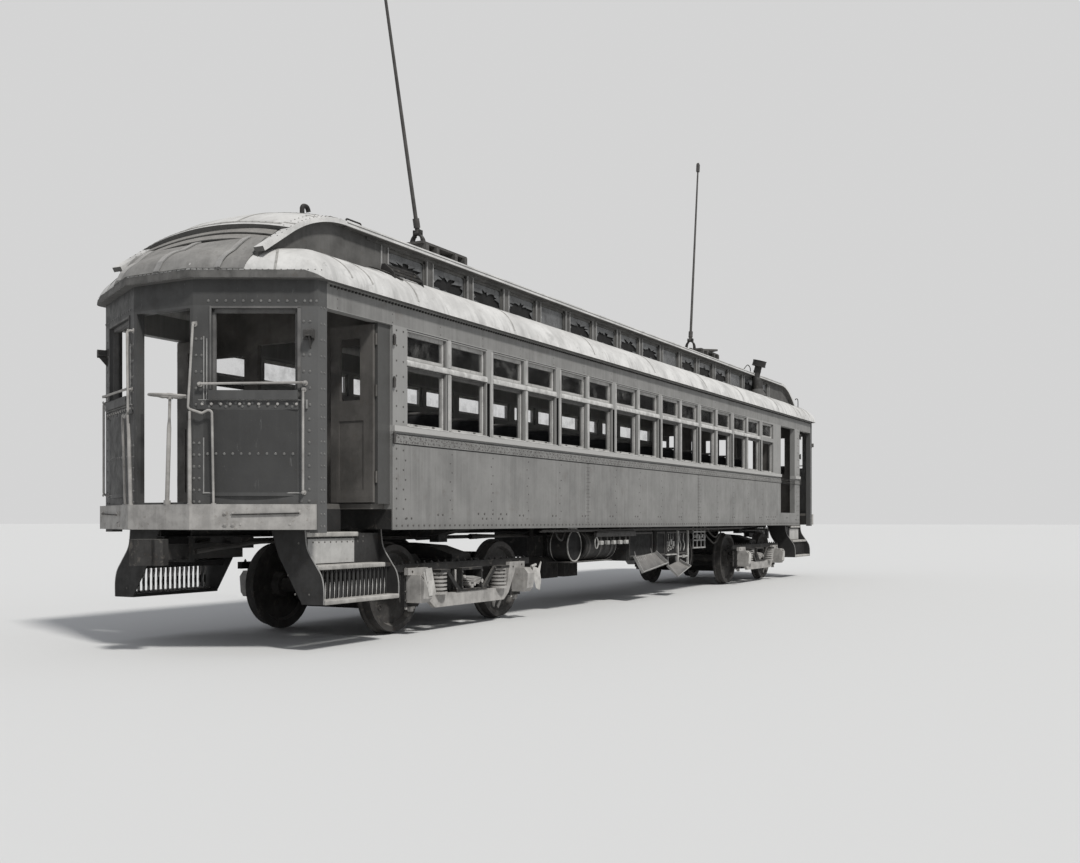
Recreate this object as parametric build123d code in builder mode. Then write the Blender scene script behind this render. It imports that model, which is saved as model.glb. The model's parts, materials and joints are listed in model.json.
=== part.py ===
from build123d import *
import os
from math import atan2, cos, degrees, radians, sin, tan

os.makedirs("parts", exist_ok=True)

# Derelict steel interurban car: body with a railroad roof, two drop-equaliser trucks, two trolley poles.
# Millimetres. X runs along the car, front is +X (baggage end), left is +Y, Z is up from the wheel flanges.

ENDS = {"rear": -1, "front": 1}
SIDES = {"right": -1, "left": 1}
FIT = 0.3                       # gap between pieces that seat on each other

# Body shell
HALF_WIDTH = 1320               # centre line to the outer face of the side sheet
WALL = 100                      # side wall, sheet to lining
SHEET = 12                      # side sheet below the floor
SHEET_BOTTOM = 1095
FLOOR_TOP = 1345
FLOOR_THICK = 50
EAVE_Z = 3300
BODY_END = {"rear": 7200, "front": 7350}       # where the side sheets stop
DOORWAY = (7400, 8200)          # side doorway of a vestibule, along X
LETTERBOARD = (3070, 3285)

# Side relief: bottom, top, how far it stands out from the sheet
GUTTER = (3285, 3300, 16)
SIDE_BANDS = (
    (1935, 2020, 10),           # belt rail
    (2050, 2105, 24),           # window sill
    GUTTER,
)

# Side windows, in pairs under one letterboard
PAIR_PITCH = 1672
PAIR_COUNT = 7
FIRST_PAIR = -6951
WINDOW_WIDTH = 711
MULLION = 97
LAST_WINDOW = 4753              # the single window behind the baggage room
LOWER_LIGHT = (2105, 2700)
UPPER_LIGHT = (2770, 3045)
POST_SLOT = (1534, 64, 48)      # slot beside the post between pairs: from the pair's rear edge, width, depth
SASH_BAR = 38
SASH_THICK = 30
SASH_SETBACK = 34               # sash face behind the sheet's face
GLASS_THICK = 5

# Baggage doorway
BAGGAGE_DOOR = (5970, 6980)
BAGGAGE_LEAF = 520
BAGGAGE_LEAF_AT = 5800          # rear edge of the leaf, pushed almost open
BAGGAGE_HEAD = 3070
PARTITION_X = 5463              # saloon face of the wall between saloon and baggage room
BULKHEAD = 60

# Vestibule ends: two slanting facets and a flat with the end doorway
CORNER_X = 8325
END_FACE_X = 8850
END_FLAT = 360                  # half width of the flat
END_WALL = 90
END_DOOR_HALF = 325
END_DOOR_HEAD = 3050
END_BOTTOM = 1100
CORNER_POST_BOTTOM = 1075
FACET_LENGTH = ((END_FACE_X - CORNER_X) ** 2 + (HALF_WIDTH - END_FLAT) ** 2) ** 0.5
FACET_TURN = degrees(atan2(HALF_WIDTH - END_FLAT, END_FACE_X - CORNER_X))
END_WINDOW = (179, 932)         # along the facet from the corner
END_WINDOW_Z = (2324, 3046)
DASH = (169, 1016)
DASH_Z = (1400, 2159)
DASH_BULGE = 26
END_BELT_Z = (2159, 2234)
END_SILL_Z = (2244, 2324)
BUFFER_Z = (1104, 1327)
BUFFER_THICK = 58

# Roof
EAVE_OUT = 80                   # eave beyond the sheet
CLERESTORY_Y = 850              # outer face of the clerestory wall
CLERESTORY_WALL = 45
CLERESTORY_END = 7000           # where its windows stop and the blank end panel starts
CLERESTORY_PITCH = 836
CLERESTORY_LIGHT = (690, 3705, 3985)
DECK_RISE = 360                 # side deck, eave to clerestory
DECK_SKIN = 48
ROOF_FOOT = 95                  # width of the plate that the deck stands on, inside the sheet
UPPER_SEAT_Z = 4030             # underside of the upper deck over the clerestory wall
UPPER_HALF = CLERESTORY_Y + 80
UPPER_LEDGE = 150               # flat width of the upper deck over its wall
UPPER_CROWN = 170
UPPER_SKIN = 45
RIM_START = 7400                # where the upper deck starts to bend down
RIM_RADIUS = 1450
RIM_TURN = 33.5
RIM_RUN = 440                   # straight length of the rims past the bend
RIM_WIDTH = 110

# Stove pipe
STOVE_X = 5580
STOVE_Y = CLERESTORY_Y + 60
STOVE_RADIUS = 54

# Underframe
SILL_DEPTH = 195                # side sill under the floor
CENTRE_SILL_Y = (140, 240)
CENTRE_SILL_BOTTOM = 1030
END_SILL_X = (7040, 7200)
CROSS_BEARERS = (-3700, -2550, -1400, -250, 900, 2050, 3200, 4150, -4150, 6400, -6400)
RAIL_Y = ((480, 540), (HALF_WIDTH - 320, HALF_WIDTH - 260))
RAIL_Z = (1085, 1180)
RAIL_X = 3250

# Couplers
COUPLER_Z = 905
SHANK_HALF = (62, 70)           # across, up
PIN_HOLE = 19

# Trucks
TRUCK_X = 5350
HALF_WHEELBASE = 1100
WHEEL_RADIUS = 457
FLANGE = 25
AXLE_Z = WHEEL_RADIUS + FLANGE
WHEEL_BACK = 680                # centre line to the back of the flange
RIM_THICK = 133
JOURNAL_RADIUS = 54
FRAME_Y = 1052                  # plane of the side frames and equalisers
CHORD_Z = (660, 735)
CHORD_END = 1450
CHORD_Y = (960, 1020)
SPRING_AT = 640
SPRING_RADIUS = 95
SPRING_CORE = 60
SPRING_RINGS = 5
EQUALISER_THICK = 50
EQUALISER_Z = (262, 405)
BOX_TOP = 626                   # journal box top, under the equaliser's arm
BOLSTER_TOP = 930
CENTRE_PLATE_RADIUS = 160
TRANSOM_U = (195, 280)          # transoms, from the truck centre along X
TRANSOM_Z = (430, 760)
SWIVEL_GAP = FIT

# Trolleys: name, base on the roof, lean from upright
POLE_LENGTH = 3450
POLE_BASE = {"rear": 4820, "front": 4440}
POLE_LEAN = {"rear": 14.5, "front": 7.0}
BOARD_Z = 4405
PIVOT_Z = 4640

# Steps: name, top of tread, outer and inner edge in from the side sheet
TREADS = (
    ("lower", 465, 20, 270),
    ("middle", 773, 105, 360),
    ("upper", 1070, 225, 470),
)
TREAD_THICK = 34
STEP_X = (7072, 8218)
STEP_PLATE = 8
WELL_X = (7420, 8200)
WELL_Y = HALF_WIDTH - 462


def finish(builder, name):
    """Label a finished piece and write it."""
    builder.part.label = name
    export_step(builder.part, f"parts/{name}.step")


def block(xs, ys, zs, mode=Mode.ADD):
    """Bar between three pairs of faces."""
    centre = ((xs[0] + xs[1]) / 2, (ys[0] + ys[1]) / 2, (zs[0] + zs[1]) / 2)
    with Locations(centre):
        Box(abs(xs[1] - xs[0]), abs(ys[1] - ys[0]), abs(zs[1] - zs[0]), mode=mode)


def across(x):
    """Plane across the car at x: local x is Y, local y is Z, extrusions run towards +X."""
    return Plane(origin=(x, 0, 0), x_dir=(0, 1, 0), z_dir=(1, 0, 0))


def along(y):
    """Upright plane along the car at y: local x is X, local y is Z, extrusions run towards -Y."""
    return Plane(origin=(0, y, 0), x_dir=(1, 0, 0), z_dir=(0, -1, 0))


def prism(plane, points, depth, mode=Mode.ADD):
    """Prism on a plane from a closed outline of straight edges."""
    with BuildSketch(plane) as outline:
        with BuildLine():
            Polyline(*points, close=True)
        make_face()
    extrude(to_extrude=outline.sketch, amount=depth, mode=mode)


def end_corners(inset):
    """Corner and flat corner of the vestibule plan, moved inwards by inset."""
    corner = (CORNER_X - inset * tan(radians(FACET_TURN / 2)), HALF_WIDTH - inset)
    flat = (END_FACE_X - inset, END_FLAT - inset * tan(radians((90 - FACET_TURN) / 2)))
    return corner, flat


def facet_point(run, out):
    """Plan point a run along the facet from its corner and out from its face."""
    turn = radians(FACET_TURN)
    return (CORNER_X + run * cos(turn) + out * sin(turn), HALF_WIDTH - run * sin(turn) + out * cos(turn))


def facet_strip(end, side, runs, outs, zs, mode=Mode.ADD):
    """Strip that lies on a facet, or a cut through it."""
    corners = [facet_point(run, out) for run, out in
               ((runs[0], outs[0]), (runs[1], outs[0]), (runs[1], outs[1]), (runs[0], outs[1]))]
    prism(Plane.XY.offset(zs[0]), [(end * x, side * y) for x, y in corners], zs[1] - zs[0], mode)


WINDOW_STARTS = [FIRST_PAIR + pair * PAIR_PITCH + half * (WINDOW_WIDTH + MULLION)
                 for pair in range(PAIR_COUNT) for half in (0, 1)] + [LAST_WINDOW]


# Side walls, one per side, with the letterboard running on over the vestibule doorways
def side_profile():
    """Section of the wall, from the sheet's foot up, round and down the lining."""
    outline = [(HALF_WIDTH, SHEET_BOTTOM)]
    for bottom, top, proud in SIDE_BANDS:
        outline += [(HALF_WIDTH, bottom), (HALF_WIDTH + proud, bottom),
                    (HALF_WIDTH + proud, top), (HALF_WIDTH, top)]
    inner = HALF_WIDTH - WALL
    outline = outline[:-1]
    outline += [(inner, EAVE_Z), (inner, FLOOR_TOP - FLOOR_THICK),
                (HALF_WIDTH - SHEET, FLOOR_TOP - FLOOR_THICK), (HALF_WIDTH - SHEET, SHEET_BOTTOM)]
    return outline


for side_name, side in SIDES.items():
    inner_y = HALF_WIDTH - WALL
    with BuildPart() as side_wall:
        span = BODY_END["rear"] + BODY_END["front"]
        prism(across(-BODY_END["rear"]), [(side * y, z) for y, z in side_profile()], span)
        header = [(HALF_WIDTH, LETTERBOARD[0]), (HALF_WIDTH, LETTERBOARD[1]),
                  (HALF_WIDTH + GUTTER[2], LETTERBOARD[1]), (HALF_WIDTH + GUTTER[2], EAVE_Z),
                  (inner_y, EAVE_Z), (inner_y, LETTERBOARD[0])]
        prism(across(-DOORWAY[1]), [(side * y, z) for y, z in header], 2 * DOORWAY[1])
        for end_name, end in ENDS.items():
            block((end * BODY_END[end_name], end * DOORWAY[0]), (side * inner_y, side * (HALF_WIDTH - 30)),
                  (FLOOR_TOP, LETTERBOARD[0]))
        with BuildSketch(along(side * HALF_WIDTH + 150)):
            for start in WINDOW_STARTS:
                for bottom, top in (LOWER_LIGHT, UPPER_LIGHT):
                    with Locations((start + WINDOW_WIDTH / 2, (bottom + top) / 2)):
                        Rectangle(WINDOW_WIDTH, top - bottom)
            with Locations((sum(BAGGAGE_DOOR) / 2, (FLOOR_TOP + BAGGAGE_HEAD) / 2)):
                Rectangle(BAGGAGE_DOOR[1] - BAGGAGE_DOOR[0], BAGGAGE_HEAD - FLOOR_TOP)
        extrude(amount=300, mode=Mode.SUBTRACT)
        shift, width, depth = POST_SLOT
        face = max(side * (HALF_WIDTH - depth), side * (HALF_WIDTH + 50))
        with BuildSketch(along(face)):
            for pair in range(PAIR_COUNT):
                with Locations((FIRST_PAIR + pair * PAIR_PITCH + shift + width / 2, sum(LOWER_LIGHT) / 2)):
                    Rectangle(width, LOWER_LIGHT[1] - LOWER_LIGHT[0])
        extrude(amount=depth + 50, mode=Mode.SUBTRACT)
        block((PARTITION_X + BULKHEAD + FIT, BODY_END["rear"] - BULKHEAD - 2 * FIT),
              (side * inner_y, side * (inner_y - 55)), (BAGGAGE_HEAD + 15, BAGGAGE_HEAD + 50))
    finish(side_wall, f"side_wall_{side_name}")

    with BuildPart() as sashes:
        face = side * (HALF_WIDTH - SASH_SETBACK)
        if side < 0:
            face += SASH_THICK
        with BuildSketch(along(face)):
            for start in WINDOW_STARTS:
                for bottom, top in (LOWER_LIGHT, UPPER_LIGHT):
                    with Locations((start + WINDOW_WIDTH / 2, (bottom + top) / 2)):
                        Rectangle(WINDOW_WIDTH - 2 * FIT, top - bottom - 2 * FIT)
                        Rectangle(WINDOW_WIDTH - 2 * SASH_BAR, top - bottom - 2 * SASH_BAR, mode=Mode.SUBTRACT)
        extrude(amount=SASH_THICK)
    finish(sashes, f"sashes_{side_name}")


# Glass that is left: the small upper lights
with BuildPart() as upper_glass:
    for side in SIDES.values():
        middle = side * (HALF_WIDTH - SASH_SETBACK - SASH_THICK / 2) + GLASS_THICK / 2
        with BuildSketch(along(middle)):
            for start in WINDOW_STARTS:
                with Locations((start + WINDOW_WIDTH / 2, sum(UPPER_LIGHT) / 2)):
                    Rectangle(WINDOW_WIDTH - 2 * SASH_BAR - 2 * FIT,
                              UPPER_LIGHT[1] - UPPER_LIGHT[0] - 2 * SASH_BAR - 2 * FIT)
        extrude(amount=GLASS_THICK)
finish(upper_glass, "upper_glass")


# Floor of the saloon, baggage room and vestibules, open over the step wells
with BuildPart() as floor:
    corner, flat = end_corners(END_WALL + FIT)
    edge = HALF_WIDTH - WALL - FIT
    ring = [(corner[0], edge), (flat[0], flat[1]), (flat[0], -flat[1]), (corner[0], -edge),
            (-corner[0], -edge), (-flat[0], -flat[1]), (-flat[0], flat[1]), (-corner[0], edge)]
    prism(Plane.XY.offset(FLOOR_TOP - FLOOR_THICK), ring, FLOOR_THICK)
    for end in ENDS.values():
        for side in SIDES.values():
            block((end * WELL_X[0], end * (WELL_X[1] + 10)), (side * WELL_Y, side * HALF_WIDTH),
                  (FLOOR_TOP - 2 * FLOOR_THICK, FLOOR_TOP + FLOOR_THICK), Mode.SUBTRACT)
finish(floor, "floor")


# Vestibule ends, with corner posts, facet windows, bulged dashes and the end doorway
for end_name, end in ENDS.items():
    with BuildPart() as vestibule:
        outer = ((DOORWAY[1], HALF_WIDTH),) + end_corners(0)
        inner = ((DOORWAY[1], HALF_WIDTH - END_WALL),) + end_corners(END_WALL)
        for side in SIDES.values():
            half = [(x, side * y) for x, y in outer] + [(END_FACE_X, 0), (END_FACE_X - END_WALL, 0)]
            half += [(x, side * y) for x, y in reversed(inner)]
            prism(Plane.XY.offset(END_BOTTOM), [(end * x, y) for x, y in half], EAVE_Z - END_BOTTOM)
        block((end * (END_FACE_X - 200), end * (END_FACE_X + 50)), (-END_DOOR_HALF, END_DOOR_HALF),
              (FLOOR_TOP, END_DOOR_HEAD), Mode.SUBTRACT)
        for side in SIDES.values():
            facet_strip(end, side, END_WINDOW, (60, -END_WALL - 60), END_WINDOW_Z, Mode.SUBTRACT)
            facet_strip(end, side, (DASH[0], FACET_LENGTH - 40), (-5, 12), END_BELT_Z)
            facet_strip(end, side, (DASH[0], END_WINDOW[1] + 20), (-5, 45), END_SILL_Z)
            block((end * DOORWAY[1], end * CORNER_X), (side * (HALF_WIDTH - END_WALL), side * HALF_WIDTH),
                  (CORNER_POST_BOTTOM, END_BOTTOM + 10))
            start, stop = facet_point(DASH[0], -5), facet_point(DASH[1], -5)
            crest = facet_point(sum(DASH) / 2, DASH_BULGE)
            with BuildSketch(Plane.XY.offset(DASH_Z[0])):
                with BuildLine():
                    signed = [(end * x, side * y) for x, y in (start, crest, stop)]
                    ThreePointArc(*signed)
                    Line(signed[2], signed[0])
                make_face()
            extrude(amount=DASH_Z[1] - DASH_Z[0])
    finish(vestibule, f"vestibule_{end_name}")


# Buffer beams round the foot of each end
with BuildPart() as buffers:
    for end in ENDS.values():
        flat_in = end_corners(-FIT)[1]
        flat_out = end_corners(-BUFFER_THICK)[1]
        half = [facet_point(10, FIT), facet_point(10, BUFFER_THICK), flat_out]
        half += [(x, -y) for x, y in reversed(half)]
        half += [(x, -y) for x, y in (flat_in,)] + [flat_in]
        prism(Plane.XY.offset(BUFFER_Z[0]), [(end * x, y) for x, y in half], BUFFER_Z[1] - BUFFER_Z[0])
finish(buffers, "buffers")


# Hoods: sheet domes over the vestibules, each a loft of plan outlines on a quarter ellipse
HOOD_STEPS = (0, 25, 50, 70, 90)


def hood_loft(end, foot_inset, rise, width, mode=Mode.ADD):
    """Dome from the eave outline up to the clerestory, in plan outlines inset along an ellipse."""
    outlines = []
    for angle in HOOD_STEPS:
        inset = foot_inset + width * (1 - cos(radians(angle)))
        corner, flat = end_corners(inset)
        half = [(BODY_END["rear"], corner[1]), corner, flat]
        ring = half + [(x, -y) for x, y in reversed(half)]
        with BuildSketch(Plane.XY.offset(EAVE_Z + rise * sin(radians(angle)))) as outline:
            with BuildLine():
                Polyline(*[(end * x, y) for x, y in ring], close=True)
            make_face()
            bends = [v for v in outline.vertices() if abs(v.X) > BODY_END["rear"] + 1]
            fillet(bends, radius=120)
        outlines.append(outline.sketch)
    loft(sections=outlines, mode=mode)


DECK_WIDTH = HALF_WIDTH + EAVE_OUT - CLERESTORY_Y

for end_name, end in ENDS.items():
    with BuildPart() as hood:
        hood_loft(end, -EAVE_OUT, DECK_RISE, DECK_WIDTH)
        hood_loft(end, ROOF_FOOT, DECK_RISE - DECK_SKIN, DECK_WIDTH - EAVE_OUT - ROOF_FOOT, Mode.SUBTRACT)
    finish(hood, f"hood_{end_name}")


# Side decks, from the eaves up to the clerestory
def deck_arc(side, foot, rise):
    """Three points of the quarter ellipse from the eave up to the clerestory."""
    width = foot - CLERESTORY_Y
    return [(side * (CLERESTORY_Y + width * cos(radians(angle))), EAVE_Z + rise * sin(radians(angle)))
            for angle in (0, 45, 90)]


for side_name, side in SIDES.items():
    with BuildPart() as deck:
        with BuildSketch(across(-BODY_END["rear"])):
            with BuildLine():
                out = deck_arc(side, HALF_WIDTH + EAVE_OUT, DECK_RISE)
                ins = deck_arc(side, HALF_WIDTH - ROOF_FOOT, DECK_RISE - DECK_SKIN)
                ThreePointArc(*out)
                Line(out[2], ins[2])
                ThreePointArc(ins[2], ins[1], ins[0])
                Line(ins[0], out[0])
            make_face()
        extrude(amount=2 * BODY_END["rear"])
    finish(deck, f"roof_deck_{side_name}")

    with BuildPart() as clerestory:
        count = int(2 * CLERESTORY_END / CLERESTORY_PITCH)
        width, bottom, top = CLERESTORY_LIGHT
        start_y = max(side * CLERESTORY_Y, side * (CLERESTORY_Y - CLERESTORY_WALL))
        with BuildSketch(along(start_y)):
            with Locations((0, (EAVE_Z + DECK_RISE - DECK_SKIN + UPPER_SEAT_Z) / 2)):
                Rectangle(2 * CLERESTORY_END, UPPER_SEAT_Z - (EAVE_Z + DECK_RISE - DECK_SKIN))
            with Locations((0, (bottom + top) / 2)):
                with GridLocations(CLERESTORY_PITCH, 1, count, 1):
                    Rectangle(width, top - bottom, mode=Mode.SUBTRACT)
        extrude(amount=CLERESTORY_WALL)
    finish(clerestory, f"clerestory_{side_name}")


# Upper deck, bent down at both ends, with a rim along each edge
def upper_section():
    """Section of the upper deck: crowned skin on two flat seats."""
    seat = UPPER_HALF - UPPER_LEDGE
    with BuildLine() as edge:
        ThreePointArc((-UPPER_HALF, UPPER_SEAT_Z + UPPER_SKIN), (0, UPPER_SEAT_Z + UPPER_CROWN),
                      (UPPER_HALF, UPPER_SEAT_Z + UPPER_SKIN))
        Line((UPPER_HALF, UPPER_SEAT_Z + UPPER_SKIN), (UPPER_HALF, UPPER_SEAT_Z))
        Line((UPPER_HALF, UPPER_SEAT_Z), (seat, UPPER_SEAT_Z))
        ThreePointArc((seat, UPPER_SEAT_Z), (0, UPPER_SEAT_Z + UPPER_CROWN - UPPER_SKIN), (-seat, UPPER_SEAT_Z))
        Line((-seat, UPPER_SEAT_Z), (-UPPER_HALF, UPPER_SEAT_Z))
        Line((-UPPER_HALF, UPPER_SEAT_Z), (-UPPER_HALF, UPPER_SEAT_Z + UPPER_SKIN))
    make_face(edge.edges())


RIM_CENTRE_Z = UPPER_SEAT_Z - RIM_RADIUS
RIM_END = (RIM_START + RIM_RADIUS * sin(radians(RIM_TURN)), RIM_CENTRE_Z + RIM_RADIUS * cos(radians(RIM_TURN)))

with BuildPart() as roof_upper:
    with BuildSketch(across(-RIM_START)):
        upper_section()
    extrude(amount=2 * RIM_START)
    for end in ENDS.values():
        with BuildSketch(across(end * RIM_START)):
            upper_section()
        revolve(axis=Axis((end * RIM_START, 0, RIM_CENTRE_Z), (0, end, 0)), revolution_arc=RIM_TURN)
        slope = Plane(origin=(end * RIM_END[0], 0, RIM_END[1]), x_dir=(0, 1, 0),
                      z_dir=(end * cos(radians(RIM_TURN)), 0, -sin(radians(RIM_TURN))))
        with BuildSketch(slope):
            for side in SIDES.values():
                with Locations((side * (UPPER_HALF - RIM_WIDTH / 2), end * UPPER_SKIN / 2)):
                    Rectangle(RIM_WIDTH, UPPER_SKIN)
        extrude(amount=RIM_RUN)
    with Locations((STOVE_X, -STOVE_Y, UPPER_SEAT_Z)):
        Cylinder(STOVE_RADIUS + 5, 6 * UPPER_SKIN, mode=Mode.SUBTRACT)
finish(roof_upper, "roof_upper")


# Roof ends: blank panels under the rims, with the vent's louvre boards between them
LOUVRES = ((8262, 3752), (8330, 3712), (8398, 3672))
LOUVRE = (105, 16)
LOUVRE_TILT = 25

for end_name, end in ENDS.items():
    with BuildPart() as roof_end:
        drop = (sin(radians(RIM_TURN)), cos(radians(RIM_TURN)))
        toe = (RIM_END[0] + RIM_RUN * drop[1], RIM_END[1] - RIM_RUN * drop[0] - FIT)
        knee = (RIM_END[0], RIM_END[1] - FIT)
        middle = (RIM_START + RIM_RADIUS * sin(radians(RIM_TURN / 2)),
                  RIM_CENTRE_Z + RIM_RADIUS * cos(radians(RIM_TURN / 2)) - FIT)
        base = EAVE_Z + DECK_RISE - DECK_SKIN
        for side in SIDES.values():
            start_y = max(side * CLERESTORY_Y, side * (CLERESTORY_Y - CLERESTORY_WALL))
            with BuildSketch(along(start_y)):
                with BuildLine():
                    Line((end * (CLERESTORY_END + FIT), base), (end * (CLERESTORY_END + FIT), UPPER_SEAT_Z - FIT))
                    Line((end * (CLERESTORY_END + FIT), UPPER_SEAT_Z - FIT), (end * RIM_START, UPPER_SEAT_Z - FIT))
                    ThreePointArc((end * RIM_START, UPPER_SEAT_Z - FIT), (end * middle[0], middle[1]),
                                  (end * knee[0], knee[1]))
                    Line((end * knee[0], knee[1]), (end * toe[0], toe[1]))
                    Line((end * toe[0], toe[1]), (end * toe[0], toe[1] - 80))
                    Line((end * toe[0], toe[1] - 80), (end * (CLERESTORY_END + FIT), base))
                make_face()
            extrude(amount=CLERESTORY_WALL)
        for x, z in LOUVRES:
            board = Plane(origin=(end * x, 0, z), x_dir=(0, 1, 0),
                          z_dir=(end * sin(radians(LOUVRE_TILT)), 0, cos(radians(LOUVRE_TILT))))
            with BuildSketch(board):
                Rectangle(2 * (CLERESTORY_Y - CLERESTORY_WALL + 10), LOUVRE[0])
            extrude(amount=LOUVRE[1])
        hood_loft(end, -EAVE_OUT - 0.5, DECK_RISE + 0.5, DECK_WIDTH, Mode.SUBTRACT)
        block((end * (CLERESTORY_END - 10), end * BODY_END["rear"]), (-CLERESTORY_Y - 10, CLERESTORY_Y + 10),
              (base - 100, base - 0.001), Mode.SUBTRACT)
    finish(roof_end, f"roof_end_{end_name}")


# Bulkheads: body ends and the baggage partition, shaped to the ceiling
BULKHEAD_DOOR = (380, 3000)
BULKHEAD_LIGHT = (560, 1060, 2150, 2900)
CEILING_GAP = 12


def bulkhead_outline():
    """Half outline of the space under the roof, from the floor up the side to the crown."""
    foot = HALF_WIDTH - WALL - FIT
    deck_top = EAVE_Z + DECK_RISE - DECK_SKIN - CEILING_GAP
    inner = HALF_WIDTH - ROOF_FOOT - CLERESTORY_Y
    half = [(foot, FLOOR_TOP), (foot, EAVE_Z - FIT)]
    for angle in (20, 45, 65):
        half.append((CLERESTORY_Y + inner * cos(radians(angle)) - CEILING_GAP,
                     EAVE_Z + (DECK_RISE - DECK_SKIN) * sin(radians(angle)) - CEILING_GAP))
    half += [(CLERESTORY_Y - CLERESTORY_WALL - FIT, deck_top),
             (CLERESTORY_Y - CLERESTORY_WALL - FIT, UPPER_SEAT_Z - FIT),
             (UPPER_HALF - UPPER_LEDGE - CEILING_GAP, UPPER_SEAT_Z - FIT),
             (300, UPPER_SEAT_Z + UPPER_CROWN - UPPER_SKIN - 4 * CEILING_GAP)]
    return half


def bulkhead_panel(x):
    """Panel with a doorway and a window each side of it."""
    half = bulkhead_outline()
    prism(across(x), half + [(-y, z) for y, z in reversed(half)], BULKHEAD)
    door_half, door_head = BULKHEAD_DOOR
    block((x - 5, x + BULKHEAD + 5), (-door_half, door_half), (FLOOR_TOP - 5, door_head), Mode.SUBTRACT)
    inner, outer, bottom, top = BULKHEAD_LIGHT
    for side in SIDES.values():
        block((x - 5, x + BULKHEAD + 5), (side * inner, side * outer), (bottom, top), Mode.SUBTRACT)


BULKHEAD_X = {"rear": -BODY_END["rear"] + FIT, "front": BODY_END["rear"] - BULKHEAD - FIT, "baggage": PARTITION_X}
for name, x in BULKHEAD_X.items():
    with BuildPart() as bulkhead:
        bulkhead_panel(x)
    finish(bulkhead, f"bulkhead_{name}")


# Seats: reversible pairs on both sides of the aisle, one row to each window
SEAT_PITCH = PAIR_PITCH / 2
SEAT_ROWS = 14
SEAT_FIRST = FIRST_PAIR + 330
SEAT_WIDTH = 960
SEAT_PROFILE = (
    (-230, 1690), (230, 1700), (240, 1790), (205, 1800), (150, 1795),
    (-120, 1785), (-255, 2330), (-325, 2345), (-330, 2290), (-245, 1790),
)
PEDESTAL = (290, 140)

for side_name, side in SIDES.items():
    with BuildPart() as seats:
        wall_y = HALF_WIDTH - WALL - FIT
        rows = [SEAT_FIRST + row * SEAT_PITCH for row in range(SEAT_ROWS)]
        with BuildSketch(along(max(side * wall_y, side * (wall_y - SEAT_WIDTH)))):
            for x in rows:
                with BuildLine():
                    Polyline(*[(x + u, z) for u, z in SEAT_PROFILE], close=True)
                make_face()
        extrude(amount=SEAT_WIDTH)
        with BuildSketch(Plane.XY.offset(FLOOR_TOP)):
            for x in rows:
                with Locations((x, side * (wall_y - SEAT_WIDTH / 2))):
                    Rectangle(*PEDESTAL)
        extrude(amount=SEAT_PROFILE[0][1] + 10 - FLOOR_TOP)
    finish(seats, f"seats_{side_name}")


# Underframe: side sills, centre sills, bolsters, cross bearers, platforms and equipment rails
BOLSTER_HALF = 160
CROSS_EDGE = (HALF_WIDTH - 90, 1130)            # underside of a cross member where it meets the side sill
BOLSTER_INNER = (560, 1000)
BEARER_INNER = (260, 1060)
BEARER_THICK = 40
SILL_FLANGE = 75
SILL_WEB = 14
CENTRE_WEB = 6                                  # half thickness
CENTRE_SILL_END = 8700
CENTRE_PLATE_Z = BOLSTER_TOP + SWIVEL_GAP
SIDE_BEARING = (90, 580, 700, 12)               # half length, inner and outer Y, clearance above the truck
PLATFORM_BEAM_X = (8205, 8262)
CARRY_IRON = (8640, 8690, 172, 22)              # along X, half width outside, thickness
PLATFORM_RING = (60, 80)                        # edge beam of the platform: height above the end's foot, width


def mirrored(half):
    """Closed outline from its left half, mirrored about the car's centre line."""
    return list(half) + [(-y, z) for y, z in reversed(half)]


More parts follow.
